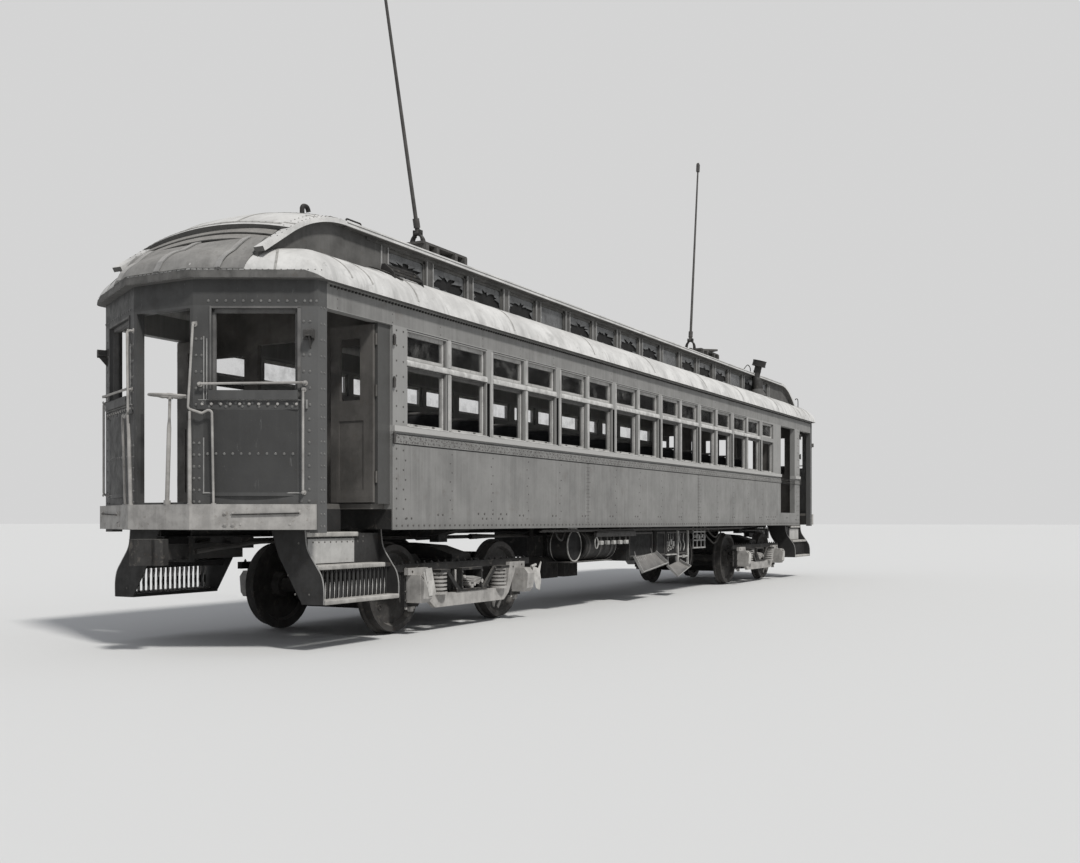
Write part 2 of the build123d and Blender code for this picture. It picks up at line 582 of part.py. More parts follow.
with BuildPart() as underframe:
    top = FLOOR_TOP - FLOOR_THICK
    sill_y = HALF_WIDTH - SHEET - FIT
    sill_foot = top - SILL_DEPTH
    for side in SIDES.values():
        channel = [(sill_y, sill_foot), (sill_y, top), (sill_y - SILL_FLANGE, top),
                   (sill_y - SILL_FLANGE, top - SILL_WEB), (sill_y - SILL_WEB, top - SILL_WEB),
                   (sill_y - SILL_WEB, sill_foot + SILL_WEB), (sill_y - SILL_FLANGE, sill_foot + SILL_WEB),
                   (sill_y - SILL_FLANGE, sill_foot)]
        reach = END_SILL_X[0] + 20
        prism(across(-reach), [(side * y, z) for y, z in channel], 2 * reach)
        inner, outer = CENTRE_SILL_Y
        web, foot = (inner + outer) / 2, CENTRE_SILL_BOTTOM
        beam = [(inner, foot), (outer, foot), (outer, foot + SILL_WEB), (web + CENTRE_WEB, foot + SILL_WEB),
                (web + CENTRE_WEB, top - SILL_WEB), (outer, top - SILL_WEB), (outer, top), (inner, top),
                (inner, top - SILL_WEB), (web - CENTRE_WEB, top - SILL_WEB),
                (web - CENTRE_WEB, foot + SILL_WEB), (inner, foot + SILL_WEB)]
        prism(across(-CENTRE_SILL_END), [(side * y, z) for y, z in beam], 2 * CENTRE_SILL_END)
        for rail in RAIL_Y:
            block((-RAIL_X, RAIL_X), (side * rail[0], side * rail[1]), RAIL_Z)
    with BuildSketch(*[across(x - BEARER_THICK / 2) for x in CROSS_BEARERS]):
        with BuildLine():
            half = [(sill_y - 5, top), (CROSS_EDGE[0], CROSS_EDGE[1] + 60), BEARER_INNER]
            Polyline(*mirrored(half), close=True)
        make_face()
    extrude(amount=BEARER_THICK)
    for end in ENDS.values():
        truck_x = end * TRUCK_X
        half = [(sill_y - 5, top), CROSS_EDGE, BOLSTER_INNER]
        prism(across(truck_x - BOLSTER_HALF), mirrored(half), 2 * BOLSTER_HALF)
        plate_top = BOLSTER_INNER[1] + 10
        with Locations((truck_x, 0, (CENTRE_PLATE_Z + plate_top) / 2)):
            Cylinder(CENTRE_PLATE_RADIUS, plate_top - CENTRE_PLATE_Z)
        half_length, near, far, gap = SIDE_BEARING
        for side in SIDES.values():
            block((truck_x - half_length, truck_x + half_length), (side * near, side * far),
                  (BOLSTER_TOP + gap, plate_top + 30))
        block((end * END_SILL_X[0], end * END_SILL_X[1]), (-sill_y, sill_y), (sill_foot, top))
        beam_y = HALF_WIDTH - END_WALL - 5
        block((end * PLATFORM_BEAM_X[0], end * PLATFORM_BEAM_X[1]), (-beam_y, beam_y), (sill_foot, top))
        near, far, half_width, thick = CARRY_IRON
        shank_foot = COUPLER_Z - SHANK_HALF[1]
        for side in SIDES.values():
            block((end * near, end * far), (side * (half_width - thick), side * half_width),
                  (shank_foot - 25, CENTRE_SILL_BOTTOM + 5))
        block((end * near, end * far), (-half_width, half_width), (shank_foot - 25, shank_foot - FIT))
        rise, width = PLATFORM_RING
        outer, inner = end_corners(END_WALL + FIT), end_corners(END_WALL + width)
        half = [outer[0], outer[1], (outer[1][0], 0), (inner[1][0], 0), inner[1], inner[0]]
        for side in SIDES.values():
            prism(Plane.XY.offset(END_BOTTOM + rise), [(end * x, side * y) for x, y in half],
                  top - END_BOTTOM - rise)
finish(underframe, "underframe")


# Couplers: shank in a carrier under each platform, hooked head with a pin hole
HEAD_PLAN = (
    (8870, -70), (8930, -150), (9010, -165), (9060, -120), (9040, -60), (9080, -10),
    (9150, 30), (9150, 95), (9060, 150), (8960, 160), (8890, 110),
)
HEAD_HALF = 115
SHANK_X = (7900, 8900)
SHANK_HEEL = (8060, 200, 20)                    # end along X, half width, foot above the shank's axis
PIN_AT = (9085, 75)

with BuildPart() as couplers:
    for end in ENDS.values():
        half_y, half_z = SHANK_HALF
        block((end * SHANK_X[0], end * SHANK_X[1]), (-half_y, half_y), (COUPLER_Z - half_z, COUPLER_Z + half_z))
        with BuildSketch(Plane.XY.offset(COUPLER_Z - HEAD_HALF)) as head:
            with BuildLine():
                Polyline(*[(end * x, y) for x, y in HEAD_PLAN], close=True)
            make_face()
            fillet(head.vertices(), radius=14)
        extrude(amount=2 * HEAD_HALF)
        with Locations((end * PIN_AT[0], PIN_AT[1], COUPLER_Z)):
            Cylinder(PIN_HOLE, 3 * HEAD_HALF, mode=Mode.SUBTRACT)
        heel_x, heel_y, heel_z = SHANK_HEEL
        block((end * SHANK_X[0], end * heel_x), (-heel_y, heel_y), (COUPLER_Z + heel_z, CENTRE_SILL_BOTTOM - FIT))
finish(couplers, "couplers")


# Steps: S-shaped side plates, three treads, plain riser above, barred riser below; Y is given in from the sheet
PLATE_FRONT = ((228, 1100), (202, 930), (108, 785), (44, 690), (18, 580))
PLATE_BACK = ((18, 431), (260, 431), (330, 541), (530, 860), (620, 1100))
RISER_Y = (254, 262)
STEP_BARS = 17
BAR = (24, 14)
BAR_Y = 140
LEDGE_Y = (340, 355)


def step_plate(side):
    """Outline of a step's side plate in the plane across the car."""
    front, back = ([(side * (HALF_WIDTH - y), z) for y, z in row] for row in (PLATE_FRONT, PLATE_BACK))
    with BuildLine() as edge:
        ThreePointArc(*front[:3])
        ThreePointArc(*front[2:])
        Polyline(front[-1], *back, front[0])
    make_face(edge.edges())


for end_name, end in ENDS.items():
    with BuildPart() as steps:
        for side in SIDES.values():
            def inward(*distances):
                return [side * (HALF_WIDTH - y) for y in distances]
            for x in STEP_X:
                with BuildSketch(across(min(end * x, end * (x + STEP_PLATE)))):
                    step_plate(side)
                extrude(amount=STEP_PLATE)
            inner_x, outer_x = STEP_X[0] + 2, STEP_X[1] + STEP_PLATE - 2
            lower, middle, upper = (top for name, top, outer, inner in TREADS)
            for name, top, outer, inner in TREADS:
                reach = (WELL_X[0] - STEP_PLATE, outer_x) if name == "upper" else (inner_x, outer_x)
                block((end * reach[0], end * reach[1]), inward(inner, outer), (top - TREAD_THICK, top))
            back = TREADS[2][3]
            block((end * inner_x, end * outer_x), inward(*RISER_Y), (middle - 5, upper - 5))
            block((end * inner_x, end * WELL_X[0]), inward(RISER_Y[1], back), (upper - 40, upper - 6))
            block((end * (WELL_X[0] - STEP_PLATE), end * (WELL_X[1] + 5)), (*inward(back), side * WELL_Y),
                  (upper - 5, FLOOR_TOP - FLOOR_THICK))
            bar_bottom, bar_top = lower - 5, middle - TREAD_THICK + 5
            with BuildSketch(along(max(inward(BAR_Y, BAR_Y - BAR[1])))):
                with Locations((end * sum(STEP_X) / 2, (bar_bottom + bar_top) / 2)):
                    with GridLocations((STEP_X[1] - STEP_X[0] - 112) / (STEP_BARS - 1), 1, STEP_BARS, 1):
                        Rectangle(BAR[0], bar_top - bar_bottom)
            extrude(amount=BAR[1])
            block((end * inner_x, end * outer_x), inward(*LEDGE_Y), (middle - 60, middle - 10))
    finish(steps, f"steps_{end_name}")


# Vestibule doors: the one leaf left at each side doorway, folded back against the bulkhead
LEAF = 500
LEAF_Z = (1358, 3050)
LEAF_HINGE = (DOORWAY[0] + 11 + FIT, HALF_WIDTH - 41)
LEAF_OFFSET = (-5, 31)          # leaf faces from the hinge line
LEAF_EDGE = 17
LEAF_LIGHT = (150, 390, 2335, 2930)
LEAF_PANEL = (110, 400, 1480, 2140)
PANEL_DEPTH = 8
HINGE_Z = (1600, 2420, 2910)
KNUCKLE = (11, 110)
STRAP_HALF = (5, 45)

for end_name, end in ENDS.items():
    for side_name, side in SIDES.items():
        with BuildPart() as leaf:
            x, y = LEAF_HINGE
            faces = [x + offset for offset in LEAF_OFFSET]
            edge = y - LEAF_EDGE
            block((end * faces[0], end * faces[1]), (side * edge, side * (edge - LEAF)), LEAF_Z)
            near, far, bottom, top = LEAF_LIGHT
            block((end * (faces[0] - 5), end * (faces[1] + 5)), (side * (edge - near), side * (edge - far)),
                  (bottom, top), Mode.SUBTRACT)
            near, far, bottom, top = LEAF_PANEL
            for face in faces:
                block((end * (face - PANEL_DEPTH), end * (face + PANEL_DEPTH)),
                      (side * (edge - near), side * (edge - far)), (bottom, top), Mode.SUBTRACT)
            for z in HINGE_Z:
                with Locations((end * x, side * y, z)):
                    Cylinder(*KNUCKLE)
                block((end * (x - STRAP_HALF[0]), end * (x + STRAP_HALF[0])), (side * y, side * (edge - 5)),
                      (z - STRAP_HALF[1], z + STRAP_HALF[1]))
        finish(leaf, f"door_{end_name}_{side_name}")


# Baggage doors: one narrow leaf per side, hung from a rail inside the wall
BAGGAGE_LEAF_THICK = 40
BAGGAGE_LEAF_GAP = 6
BAGGAGE_LIGHT = (80, 2250, 2850)                # stile width, bottom, top

for side_name, side in SIDES.items():
    with BuildPart() as leaf:
        face = HALF_WIDTH - WALL - BAGGAGE_LEAF_GAP
        rear, front = BAGGAGE_LEAF_AT, BAGGAGE_LEAF_AT + BAGGAGE_LEAF
        block((rear, front), (side * face, side * (face - BAGGAGE_LEAF_THICK)),
              (FLOOR_TOP + 8, BAGGAGE_HEAD + 15 - FIT))
        stile, bottom, top = BAGGAGE_LIGHT
        block((rear + stile, front - stile), (side * (face + 5), side * (face - BAGGAGE_LEAF_THICK - 5)),
              (bottom, top), Mode.SUBTRACT)
    finish(leaf, f"baggage_door_{side_name}")


def pipe(points, radius, bend):
    """Round bar along a line of points, with its corners bent to a radius."""
    with BuildLine() as path:
        FilletPolyline(*points, radius=bend)
    wire = path.wire()
    with BuildSketch(Plane(origin=wire @ 0, z_dir=wire % 0)) as section:
        Circle(radius)
    sweep(sections=section.sketch, path=wire)


# Rails of the vestibule ends: run along the facet, distance out from it, and height
RAIL_RADIUS = 11
RAIL_BEND = 30
END_RAILS = (
    ((111, FIT, 2390), (111, 52, 2390), (1030, 52, 2378), (1030, FIT, 2378)),       # across the window
    ((122, FIT, 2332), (122, 48, 2332), (122, 48, 1430), (122, FIT, 1430)),         # beside the corner post
    ((1078, FIT, 2905), (1078, 58, 2905), (1120, 60, 2160), (1000, 60, 2120), (912, 60, 2165),
     (905, 34, BUFFER_Z[1] + 2 * FIT)),                                             # door post, elbow and stanchion
)
STANCHION = ((1106, 60, 2140), (1112, 34, BUFFER_Z[1] + 2 * FIT))

with BuildPart() as grab_rails:
    for end in ENDS.values():
        for side in SIDES.values():
            for rail in END_RAILS + (STANCHION,):
                places = [(facet_point(run, out), z) for run, out, z in rail]
                line = [(end * x, side * y, z) for (x, y), z in places]
                if len(line) > 2:
                    pipe(line, RAIL_RADIUS, RAIL_BEND)
                else:
                    start, stop = Vector(*line[0]), Vector(*line[1])
                    with BuildSketch(Plane(origin=start, z_dir=stop - start)) as section:
                        Circle(RAIL_RADIUS)
                    extrude(to_extrude=section.sketch, amount=(stop - start).length)
finish(grab_rails, "grab_rails")


# Boards that carry the trolleys, raised on cleats shaped to the crown
BOARD_HALF = 480
BOARD_WIDE = 130
BOARD_THICK = 28
BOARD_PLACES = (-330, -190, 190, 330)
CLEATS = (-420, -200, 200, 420)
CLEAT = (60, 420)                               # along X, half width
PAD = (260, 240, 18)
SWIVEL_PIN = (24, 80)


def crown_height(y):
    """Height of the upper deck's skin at y, on its crown circle."""
    rise = UPPER_CROWN - UPPER_SKIN
    radius = (UPPER_HALF ** 2 + rise ** 2) / (2 * rise)
    return UPPER_SEAT_Z + UPPER_CROWN - radius + (radius ** 2 - y ** 2) ** 0.5


with BuildPart() as trolley_boards:
    for end_name, end in ENDS.items():
        x = end * POLE_BASE[end_name]
        for y in BOARD_PLACES:
            block((x - BOARD_HALF, x + BOARD_HALF), (y - BOARD_WIDE / 2, y + BOARD_WIDE / 2),
                  (BOARD_Z - BOARD_THICK, BOARD_Z))
        length, half = CLEAT
        for cleat in CLEATS:
            with BuildSketch(across(x + cleat - length / 2)):
                with BuildLine():
                    low = [(y, crown_height(y) + FIT) for y in (-half, 0, half)]
                    ThreePointArc(*low)
                    Polyline(low[2], (half, BOARD_Z - BOARD_THICK + 5), (-half, BOARD_Z - BOARD_THICK + 5), low[0])
                make_face()
            extrude(amount=length)
        block((x - PAD[0], x + PAD[0]), (-PAD[1], PAD[1]), (BOARD_Z - 5, BOARD_Z + PAD[2]))
        with Locations((x, 0, BOARD_Z + PAD[2] + 30)):
            Cylinder(*SWIVEL_PIN)
finish(trolley_boards, "trolley_boards")


def clear_deck(side, start, length):
    """Cuts away what lies within the side deck's skin, over a length of the roof."""
    under = deck_arc(side, HALF_WIDTH + EAVE_OUT + FIT, DECK_RISE + FIT)
    inside = side * (CLERESTORY_Y - 250)
    with BuildLine() as edge:
        ThreePointArc(*under)
        Polyline(under[2], (inside, under[2][1]), (inside, EAVE_Z - 50), (under[0][0], EAVE_Z - 50), under[0])
    with BuildSketch(across(start)) as region:
        make_face(edge.edges())
    extrude(to_extrude=region.sketch, amount=length, mode=Mode.SUBTRACT)


# Stove pipe, set through the upper eave on to the side deck
STOVE_FOOT = 3650
STOVE_CAP = ((4313, 4347, STOVE_RADIUS, 100), (4347, 4397, 100, STOVE_RADIUS))

with BuildPart() as stove_pipe:
    place = (STOVE_X, -STOVE_Y)
    with Locations((*place, (STOVE_FOOT + STOVE_CAP[1][1]) / 2)):
        Cylinder(STOVE_RADIUS, STOVE_CAP[1][1] - STOVE_FOOT)
    for bottom, top, low_radius, high_radius in STOVE_CAP:
        with Locations((*place, (bottom + top) / 2)):
            Cone(low_radius, high_radius, top - bottom)
    clear_deck(-1, STOVE_X - 200, 400)
finish(stove_pipe, "stove_pipe")


# Roof fittings: a gooseneck vent, a grab iron and a barred roof step at each end, on opposite sides
GOOSENECK_X = 7190
GOOSENECK = ((GOOSENECK_X, 0), (GOOSENECK_X, 175), (GOOSENECK_X - 80, 180), (GOOSENECK_X - 100, 130))
GOOSENECK_Y = 200
GOOSENECK_RADIUS = 24
GOOSENECK_BEND = 38
GRAB_IRON = (6745, 6990, 600, 85, 9)            # along X, Y, height, radius
ROOF_STEP_X = (6540, 7040)
ROOF_STEP_BARS = ((1105, 3710), (1155, 3668), (1210, 3618))         # Y and height of each bar
ROOF_STEP_BAR = 20
ROOF_BRACKET = (12, 30)         # thickness, and how far it reaches past its bars

with BuildPart() as roof_fittings:
    for end in ENDS.values():
        foot = crown_height(GOOSENECK_Y - GOOSENECK_RADIUS) + FIT
        pipe([(end * x, end * GOOSENECK_Y, foot + rise) for x, rise in GOOSENECK], GOOSENECK_RADIUS, GOOSENECK_BEND)
        rear, front, y, height, radius = GRAB_IRON
        foot = crown_height(y - radius) + FIT
        pipe([(end * rear, end * y, foot), (end * rear, end * y, foot + height),
              (end * front, end * y, foot + height), (end * front, end * y, foot)], radius, 2 * radius)
        thick, depth = ROOF_BRACKET
        for y, z in ROOF_STEP_BARS:
            with Locations((end * sum(ROOF_STEP_X) / 2, end * y, z)):
                Box(ROOF_STEP_X[1] - ROOF_STEP_X[0], ROOF_STEP_BAR, ROOF_STEP_BAR)
        (near_y, near_z), (far_y, far_z) = ROOF_STEP_BARS[0], ROOF_STEP_BARS[-1]
        half = ROOF_STEP_BAR / 2
        outline = [(near_y - depth, near_z + half), (near_y + half, near_z + half), (far_y + half, far_z + half),
                   (far_y + depth, far_z - 3 * depth),
                   (near_y - 3 * depth, EAVE_Z + DECK_RISE / 2)]
        for x in ROOF_STEP_X:
            start = min(end * x, end * (x - thick))
            prism(across(start), [(end * y, z) for y, z in outline], thick)
            clear_deck(end, start - 5, thick + 10)
finish(roof_fittings, "roof_fittings")


# Trolley bases and poles, each pole leaning to its own end
BASE_DISC = (190, 26)
FORK = (62, 96, 30)             # half width of the ring inside at its widest, outside, and half length along X
FORK_LUG = (33, 52)
PIVOT_PIN = 14
HUB = (34, 62)
POLE_FOOT = ((30, 0, 70), (40, 60, 170))        # casting round the pole's foot: radius, start, end
POLE_RADIUS = (25, 15)
HARP = (30, 52, 150)
TROLLEY_WHEEL = (48, 30)

for end_name, end in ENDS.items():
    x = end * POLE_BASE[end_name]
    deck_z = BOARD_Z + PAD[2] + FIT
    with BuildPart() as base:
        with Locations((x, 0, deck_z + BASE_DISC[1] / 2)):
            Cylinder(BASE_DISC[0], BASE_DISC[1])
            Cylinder(SWIVEL_PIN[0] + 0.5, BASE_DISC[1] + 60, mode=Mode.SUBTRACT)
        inner, outer, half_length = FORK
        foot, neck = deck_z + BASE_DISC[1] - 4, PIVOT_Z - 30
        middle = (foot + neck) / 2
        for side in SIDES.values():
            with BuildSketch(across(x - half_length)):
                with BuildLine():
                    near, far = ((side * FORK_LUG[0], neck), (side * FORK_LUG[1], neck))
                    ThreePointArc(far, (side * outer, middle), (side * (outer - 8), foot))
                    Line((side * (outer - 8), foot), (side * (inner - 8), foot))
                    ThreePointArc((side * (inner - 8), foot), (side * inner, middle), near)
                    Line(near, far)
                make_face()
            extrude(amount=2 * half_length)
            block((x - half_length, x + half_length), (side * FORK_LUG[0], side * FORK_LUG[1]),
                  (neck - 20, PIVOT_Z + 32))
        with Locations(Location((x, 0, PIVOT_Z), (90, 0, 0))):
            Cylinder(PIVOT_PIN, 2 * FORK_LUG[1] + 16)
    finish(base, f"trolley_base_{end_name}")

    with BuildPart() as pole:
        lean = radians(POLE_LEAN[end_name])
        shaft = Plane(origin=(x, 0, PIVOT_Z), x_dir=(0, 1, 0), z_dir=(end * sin(lean), 0, cos(lean)))
        upward = (Align.CENTER, Align.CENTER, Align.MIN)
        with Locations(Location((x, 0, PIVOT_Z), (90, 0, 0))):
            Cylinder(*HUB)
        with Locations(shaft.location):
            Cone(*POLE_RADIUS, POLE_LENGTH, align=upward)
        for radius, start, stop in POLE_FOOT:
            with Locations(shaft.offset(start).location):
                Cylinder(radius, stop - start, align=upward)
        with Locations(Location((x, 0, PIVOT_Z), (90, 0, 0))):
            Cylinder(PIVOT_PIN + 0.5, 2 * HUB[1], mode=Mode.SUBTRACT)
        with Locations(shaft.offset(POLE_LENGTH - 90).location):
            Box(HARP[1], HARP[0] * 2, HARP[2], align=upward)
        head = shaft.origin + shaft.z_dir * (POLE_LENGTH + 40)
        with Locations(Location((head.X, 0, head.Z), (90, 0, 0))):
            Cylinder(*TROLLEY_WHEEL)
    finish(pole, f"trolley_pole_{end_name}")


# Trucks
def wheel_profile():
    """Half section of one wheel: plate wheel with a flange, as (Y, radius)."""
    back, front = WHEEL_BACK, WHEEL_BACK + RIM_THICK
    return [(back - 30, 70), (back - 30, 120), (back + 45, 150), (back + 40, 370), (back, 395),
            (back, WHEEL_RADIUS + FLANGE), (back + 28, WHEEL_RADIUS + FLANGE), (back + 40, WHEEL_RADIUS),
            (front, WHEEL_RADIUS - 4), (front, 395), (back + 80, 370), (back + 70, 150), (front + 20, 120),
            (front + 20, 70)]


AXLE = (76, 68)                 # radius between the wheels, and outside them
JOURNAL_SPAN = (930, 1140)
JAW = (86, 122, 970, 300)       # inner and outer edge from the axle, inner Y, foot
TIE_Z = (296, 326)
SPRING_CAP_Y = (1000, 1150)
SPRING_CAP = (25, 5)
GUSSET = ((560, 660), (500, 660), (215, 415), (300, 415))
FRAME_BAR_Y = (1010, 1090)      # light bars between the chord and the spring plank
POST_U = (195, 222)
PLANK_Z = (410, 430)
HEAD_Z = (640, 665)
SHOE_Y = (716, 800)
SHOE_RADIUS = (470, 512)
SHOE_ANGLE = (-22, 14)
HANGER = ((280, 700), (300, 735), (585, 712), (620, 690), (598, 560), (640, 470), (605, 455), (560, 560), (570, 672))
HANGER_Y = (742, 772)
BOLSTER_Y = 945
BOLSTER_CROWN = ((945, 745), (945, 810), (620, 905), (200, 930))
SPRING_SEAT = (90, 860, 450)    # block that the bolster's end stands on: half length, inner Y, foot
BOX_Y = (935, 1190)
BOX_HALF = 85
BOX_FOOT = 340
BOX_LID = ((1188, 345), (1225, 385), (1240, 560), (1188, 625))
MOTOR_Y = 610
MOTOR = ((0, 330), (90, 235), (560, 230), (690, 330), (690, 700), (600, 815), (130, 820), (0, 720))

for end_name, end in ENDS.items():
    truck_x = end * TRUCK_X
    for place, run in (("outer", end), ("inner", -end)):
        axle_x = truck_x + run * HALF_WHEELBASE
        with BuildPart() as wheelset:
            plane = Plane(origin=(axle_x, 0, AXLE_Z), x_dir=(0, 1, 0), z_dir=(1, 0, 0))
            with BuildSketch(plane):
                with BuildLine():
                    half = [(0, 0), (0, AXLE[0]), (WHEEL_BACK - 30, AXLE[0])] + wheel_profile()[1:-1]
                    half += [(WHEEL_BACK + RIM_THICK + 20, AXLE[1]), (JOURNAL_SPAN[0] - 20, AXLE[1]),
                             (JOURNAL_SPAN[0], JOURNAL_RADIUS), (JOURNAL_SPAN[1], JOURNAL_RADIUS),
                             (JOURNAL_SPAN[1], 0)]
                    Polyline(*half, close=True)
                make_face()
            revolve(axis=Axis((axle_x, 0, AXLE_Z), (0, 1, 0)))
            mirror(about=Plane.XZ)
        finish(wheelset, f"wheelset_{end_name}_{place}")

    with BuildPart() as frame:
        for side in SIDES.values():
            block((truck_x - CHORD_END, truck_x + CHORD_END), (side * CHORD_Y[0], side * CHORD_Y[1]), CHORD_Z)
            bar_y = (side * FRAME_BAR_Y[0], side * FRAME_BAR_Y[1])
            for run in (-1, 1):
                axle = truck_x + run * HALF_WHEELBASE
                near, far, inner_y, foot = JAW
                for jaw in (-1, 1):
                    block((axle + jaw * near, axle + jaw * far), (side * inner_y, side * CHORD_Y[1]),
                          (foot, CHORD_Z[1] - 35))
                block((axle - far, axle + far), (side * inner_y, side * CHORD_Y[1]), TIE_Z)
                spring = truck_x + run * SPRING_AT
                block((spring - SPRING_RADIUS, spring + SPRING_RADIUS), (side * SPRING_CAP_Y[0], side * SPRING_CAP_Y[1]),
                      (CHORD_Z[0] - SPRING_CAP[0], CHORD_Z[0] + SPRING_CAP[1]))
                prism(along(max(side * 1060, side * 1090)), [(truck_x + run * u, z) for u, z in GUSSET], 30)
                block((truck_x + run * POST_U[0], truck_x + run * POST_U[1]), bar_y, (PLANK_Z[0], HEAD_Z[1]))
                block((truck_x + run * TRANSOM_U[0], truck_x + run * TRANSOM_U[1]), (-1000, 1000), TRANSOM_Z)
                hanger = [(truck_x + run * u, z) for u, z in HANGER]
                prism(along(max(side * HANGER_Y[0], side * HANGER_Y[1])), hanger, HANGER_Y[1] - HANGER_Y[0])
                with BuildSketch(along(max(side * SHOE_Y[0], side * SHOE_Y[1]))):
                    with BuildLine():
                        arcs = [[(axle - run * radius * cos(radians(angle)), AXLE_Z + radius * sin(radians(angle)))
                                 for angle in (SHOE_ANGLE[0], sum(SHOE_ANGLE) / 2, SHOE_ANGLE[1])]
                                for radius in SHOE_RADIUS]
                        ThreePointArc(*arcs[0])
                        Line(arcs[0][2], arcs[1][2])
                        ThreePointArc(*arcs[1])
                        Line(arcs[1][0], arcs[0][0])
                    make_face()
                extrude(amount=SHOE_Y[1] - SHOE_Y[0])
            block((truck_x - 330, truck_x + 330), bar_y, PLANK_Z)
            block((truck_x - POST_U[1], truck_x + POST_U[1]), bar_y, HEAD_Z)
    finish(frame, f"truck_frame_{end_name}")

    with BuildPart() as bolster:
        half_length = TRANSOM_U[0] - FIT
        outline = mirrored(BOLSTER_CROWN) + [(-400, 700), (400, 700)]
        prism(across(truck_x - half_length), outline, 2 * half_length)
        half_length, inner_y, foot = SPRING_SEAT
        for side in SIDES.values():
            block((truck_x - half_length, truck_x + half_length), (side * inner_y, side * BOLSTER_Y),
                  (foot, TRANSOM_Z[1]))
    finish(bolster, f"truck_bolster_{end_name}")

    with BuildPart() as equalisers:
        for side in SIDES.values():
            half_thick = EQUALISER_THICK / 2
            with BuildSketch(along(max(side * (FRAME_Y - half_thick), side * (FRAME_Y + half_thick)))):
                with BuildLine():
                    low, high = EQUALISER_Z
                    half = [(730, low), (840, low + 75), (1003, BOX_TOP - 30), (1009, BOX_TOP + FIT),
                            (1234, BOX_TOP + FIT), (1234, BOX_TOP + 70), (870, BOX_TOP + 70), (800, high)]
                    loop = [(truck_x + u, z) for u, z in half]
                    loop += [(truck_x - u, z) for u, z in reversed(half)]
                    Polyline(*loop, close=True)
                make_face()
            extrude(amount=EQUALISER_THICK)
            bottom, top = high - 5, CHORD_Z[0] - SPRING_CAP[0] - FIT
            seat_top = high + 20
            pitch = (top - seat_top) / SPRING_RINGS
            for run in (-1, 1):
                x = truck_x + run * SPRING_AT
                with BuildSketch(Plane(origin=(x, side * FRAME_Y, 0), x_dir=(1, 0, 0), z_dir=(0, -1, 0))):
                    with BuildLine():
                        outline = [(0, bottom), (SPRING_RADIUS + 8, bottom), (SPRING_RADIUS + 8, seat_top)]
                        for ring in range(SPRING_RINGS):
                            z = seat_top + ring * pitch
                            outline += [(SPRING_CORE, z + 0.1 * pitch), (SPRING_CORE, z + 0.4 * pitch),
                                        (SPRING_RADIUS, z + 0.5 * pitch), (SPRING_RADIUS, z + pitch)]
                        outline += [(0, top)]
                        Polyline(*outline, close=True)
                    make_face()
                revolve(axis=Axis((x, side * FRAME_Y, 0), (0, 0, 1)))
    finish(equalisers, f"equalisers_{end_name}")

    with BuildPart() as boxes:
        for side in SIDES.values():
            for run in (-1, 1):
                axle = truck_x + run * HALF_WHEELBASE
                block((axle - BOX_HALF, axle + BOX_HALF), (side * BOX_Y[0], side * BOX_Y[1]), (BOX_FOOT, BOX_TOP))
                prism(across(axle - BOX_HALF + 5), [(side * y, z) for y, z in BOX_LID], 2 * BOX_HALF - 10)
                with Locations(Location((axle, side * (BOX_Y[0] + 100), AXLE_Z), (90, 0, 0))):
                    Cylinder(JOURNAL_RADIUS + 0.5, 220, mode=Mode.SUBTRACT)
    finish(boxes, f"journal_boxes_{end_name}")

    with BuildPart() as motors:
        for run in (-1, 1):
            start = truck_x + run * (TRANSOM_U[1] + FIT)
            prism(along(MOTOR_Y), [(start + run * u, z) for u, z in MOTOR], 2 * MOTOR_Y)
    finish(motors, f"motors_{end_name}")


# Equipment hung under the floor: rear and front X, inner and outer Y (right side negative), foot
HUNG_TOP = RAIL_Z[0] - FIT
CONTROL_BOXES = (
    (-980, -20, -480, -1060, 600),
    (60, 1460, -480, -1060, 600),
    (-1200, 1200, 480, 1060, 640),
    (1700, 2500, 480, 1060, 700),
)
BOX_LID_RIM = 22                # lid rim around the outer face of a box
AIR_DRUM = (-2530, -1570, -940, 850, 208)       # rear and front X, Y, Z, radius
DRUM_STRAPS = (-2400, -1700)
DRUM_RIM = 14
GRIDS_X = (-2900, -2300, 1800, 2300)
GRID = (400, -700, -350, 420, 700)              # length, outer and inner Y, foot, top
GRID_PLATES = 12
GRID_PLATE = 10
GRID_TIE = (115, 95, 24)                        # tie bars: half spacing across and up, thickness

with BuildPart() as air_drum:
    rear, front, y, z, radius = AIR_DRUM
    with Locations(Location(((rear + front) / 2, y, z), (0, 90, 0))):
        Cylinder(radius - DRUM_RIM, front - rear - 40)
    for x in (rear + 20, front - 20):
        with Locations(Location((x, y, z), (0, 90, 0))):
            Cylinder(radius, 40)
            Cylinder(radius - 2 * DRUM_RIM, 50, mode=Mode.SUBTRACT)
    for x in (rear + 45, front - 45):
        with Locations(Location((x, y, z), (0, 90, 0))):
            Cylinder(radius - DRUM_RIM, 30)
    for x in DRUM_STRAPS:
        block((x - 20, x + 20), (-RAIL_Y[1][0], -RAIL_Y[1][1]), (900, HUNG_TOP))
finish(air_drum, "air_drum")

with BuildPart() as boxes:
    for rear, front, inner, outer, foot in CONTROL_BOXES:
        side = 1 if outer > 0 else -1
        block((rear, front), (inner, outer - side * 12), (foot, HUNG_TOP))
        block((rear + BOX_LID_RIM, front - BOX_LID_RIM), (outer - side * 14, outer),
              (foot + BOX_LID_RIM, HUNG_TOP - 60))
finish(boxes, "equipment_boxes")

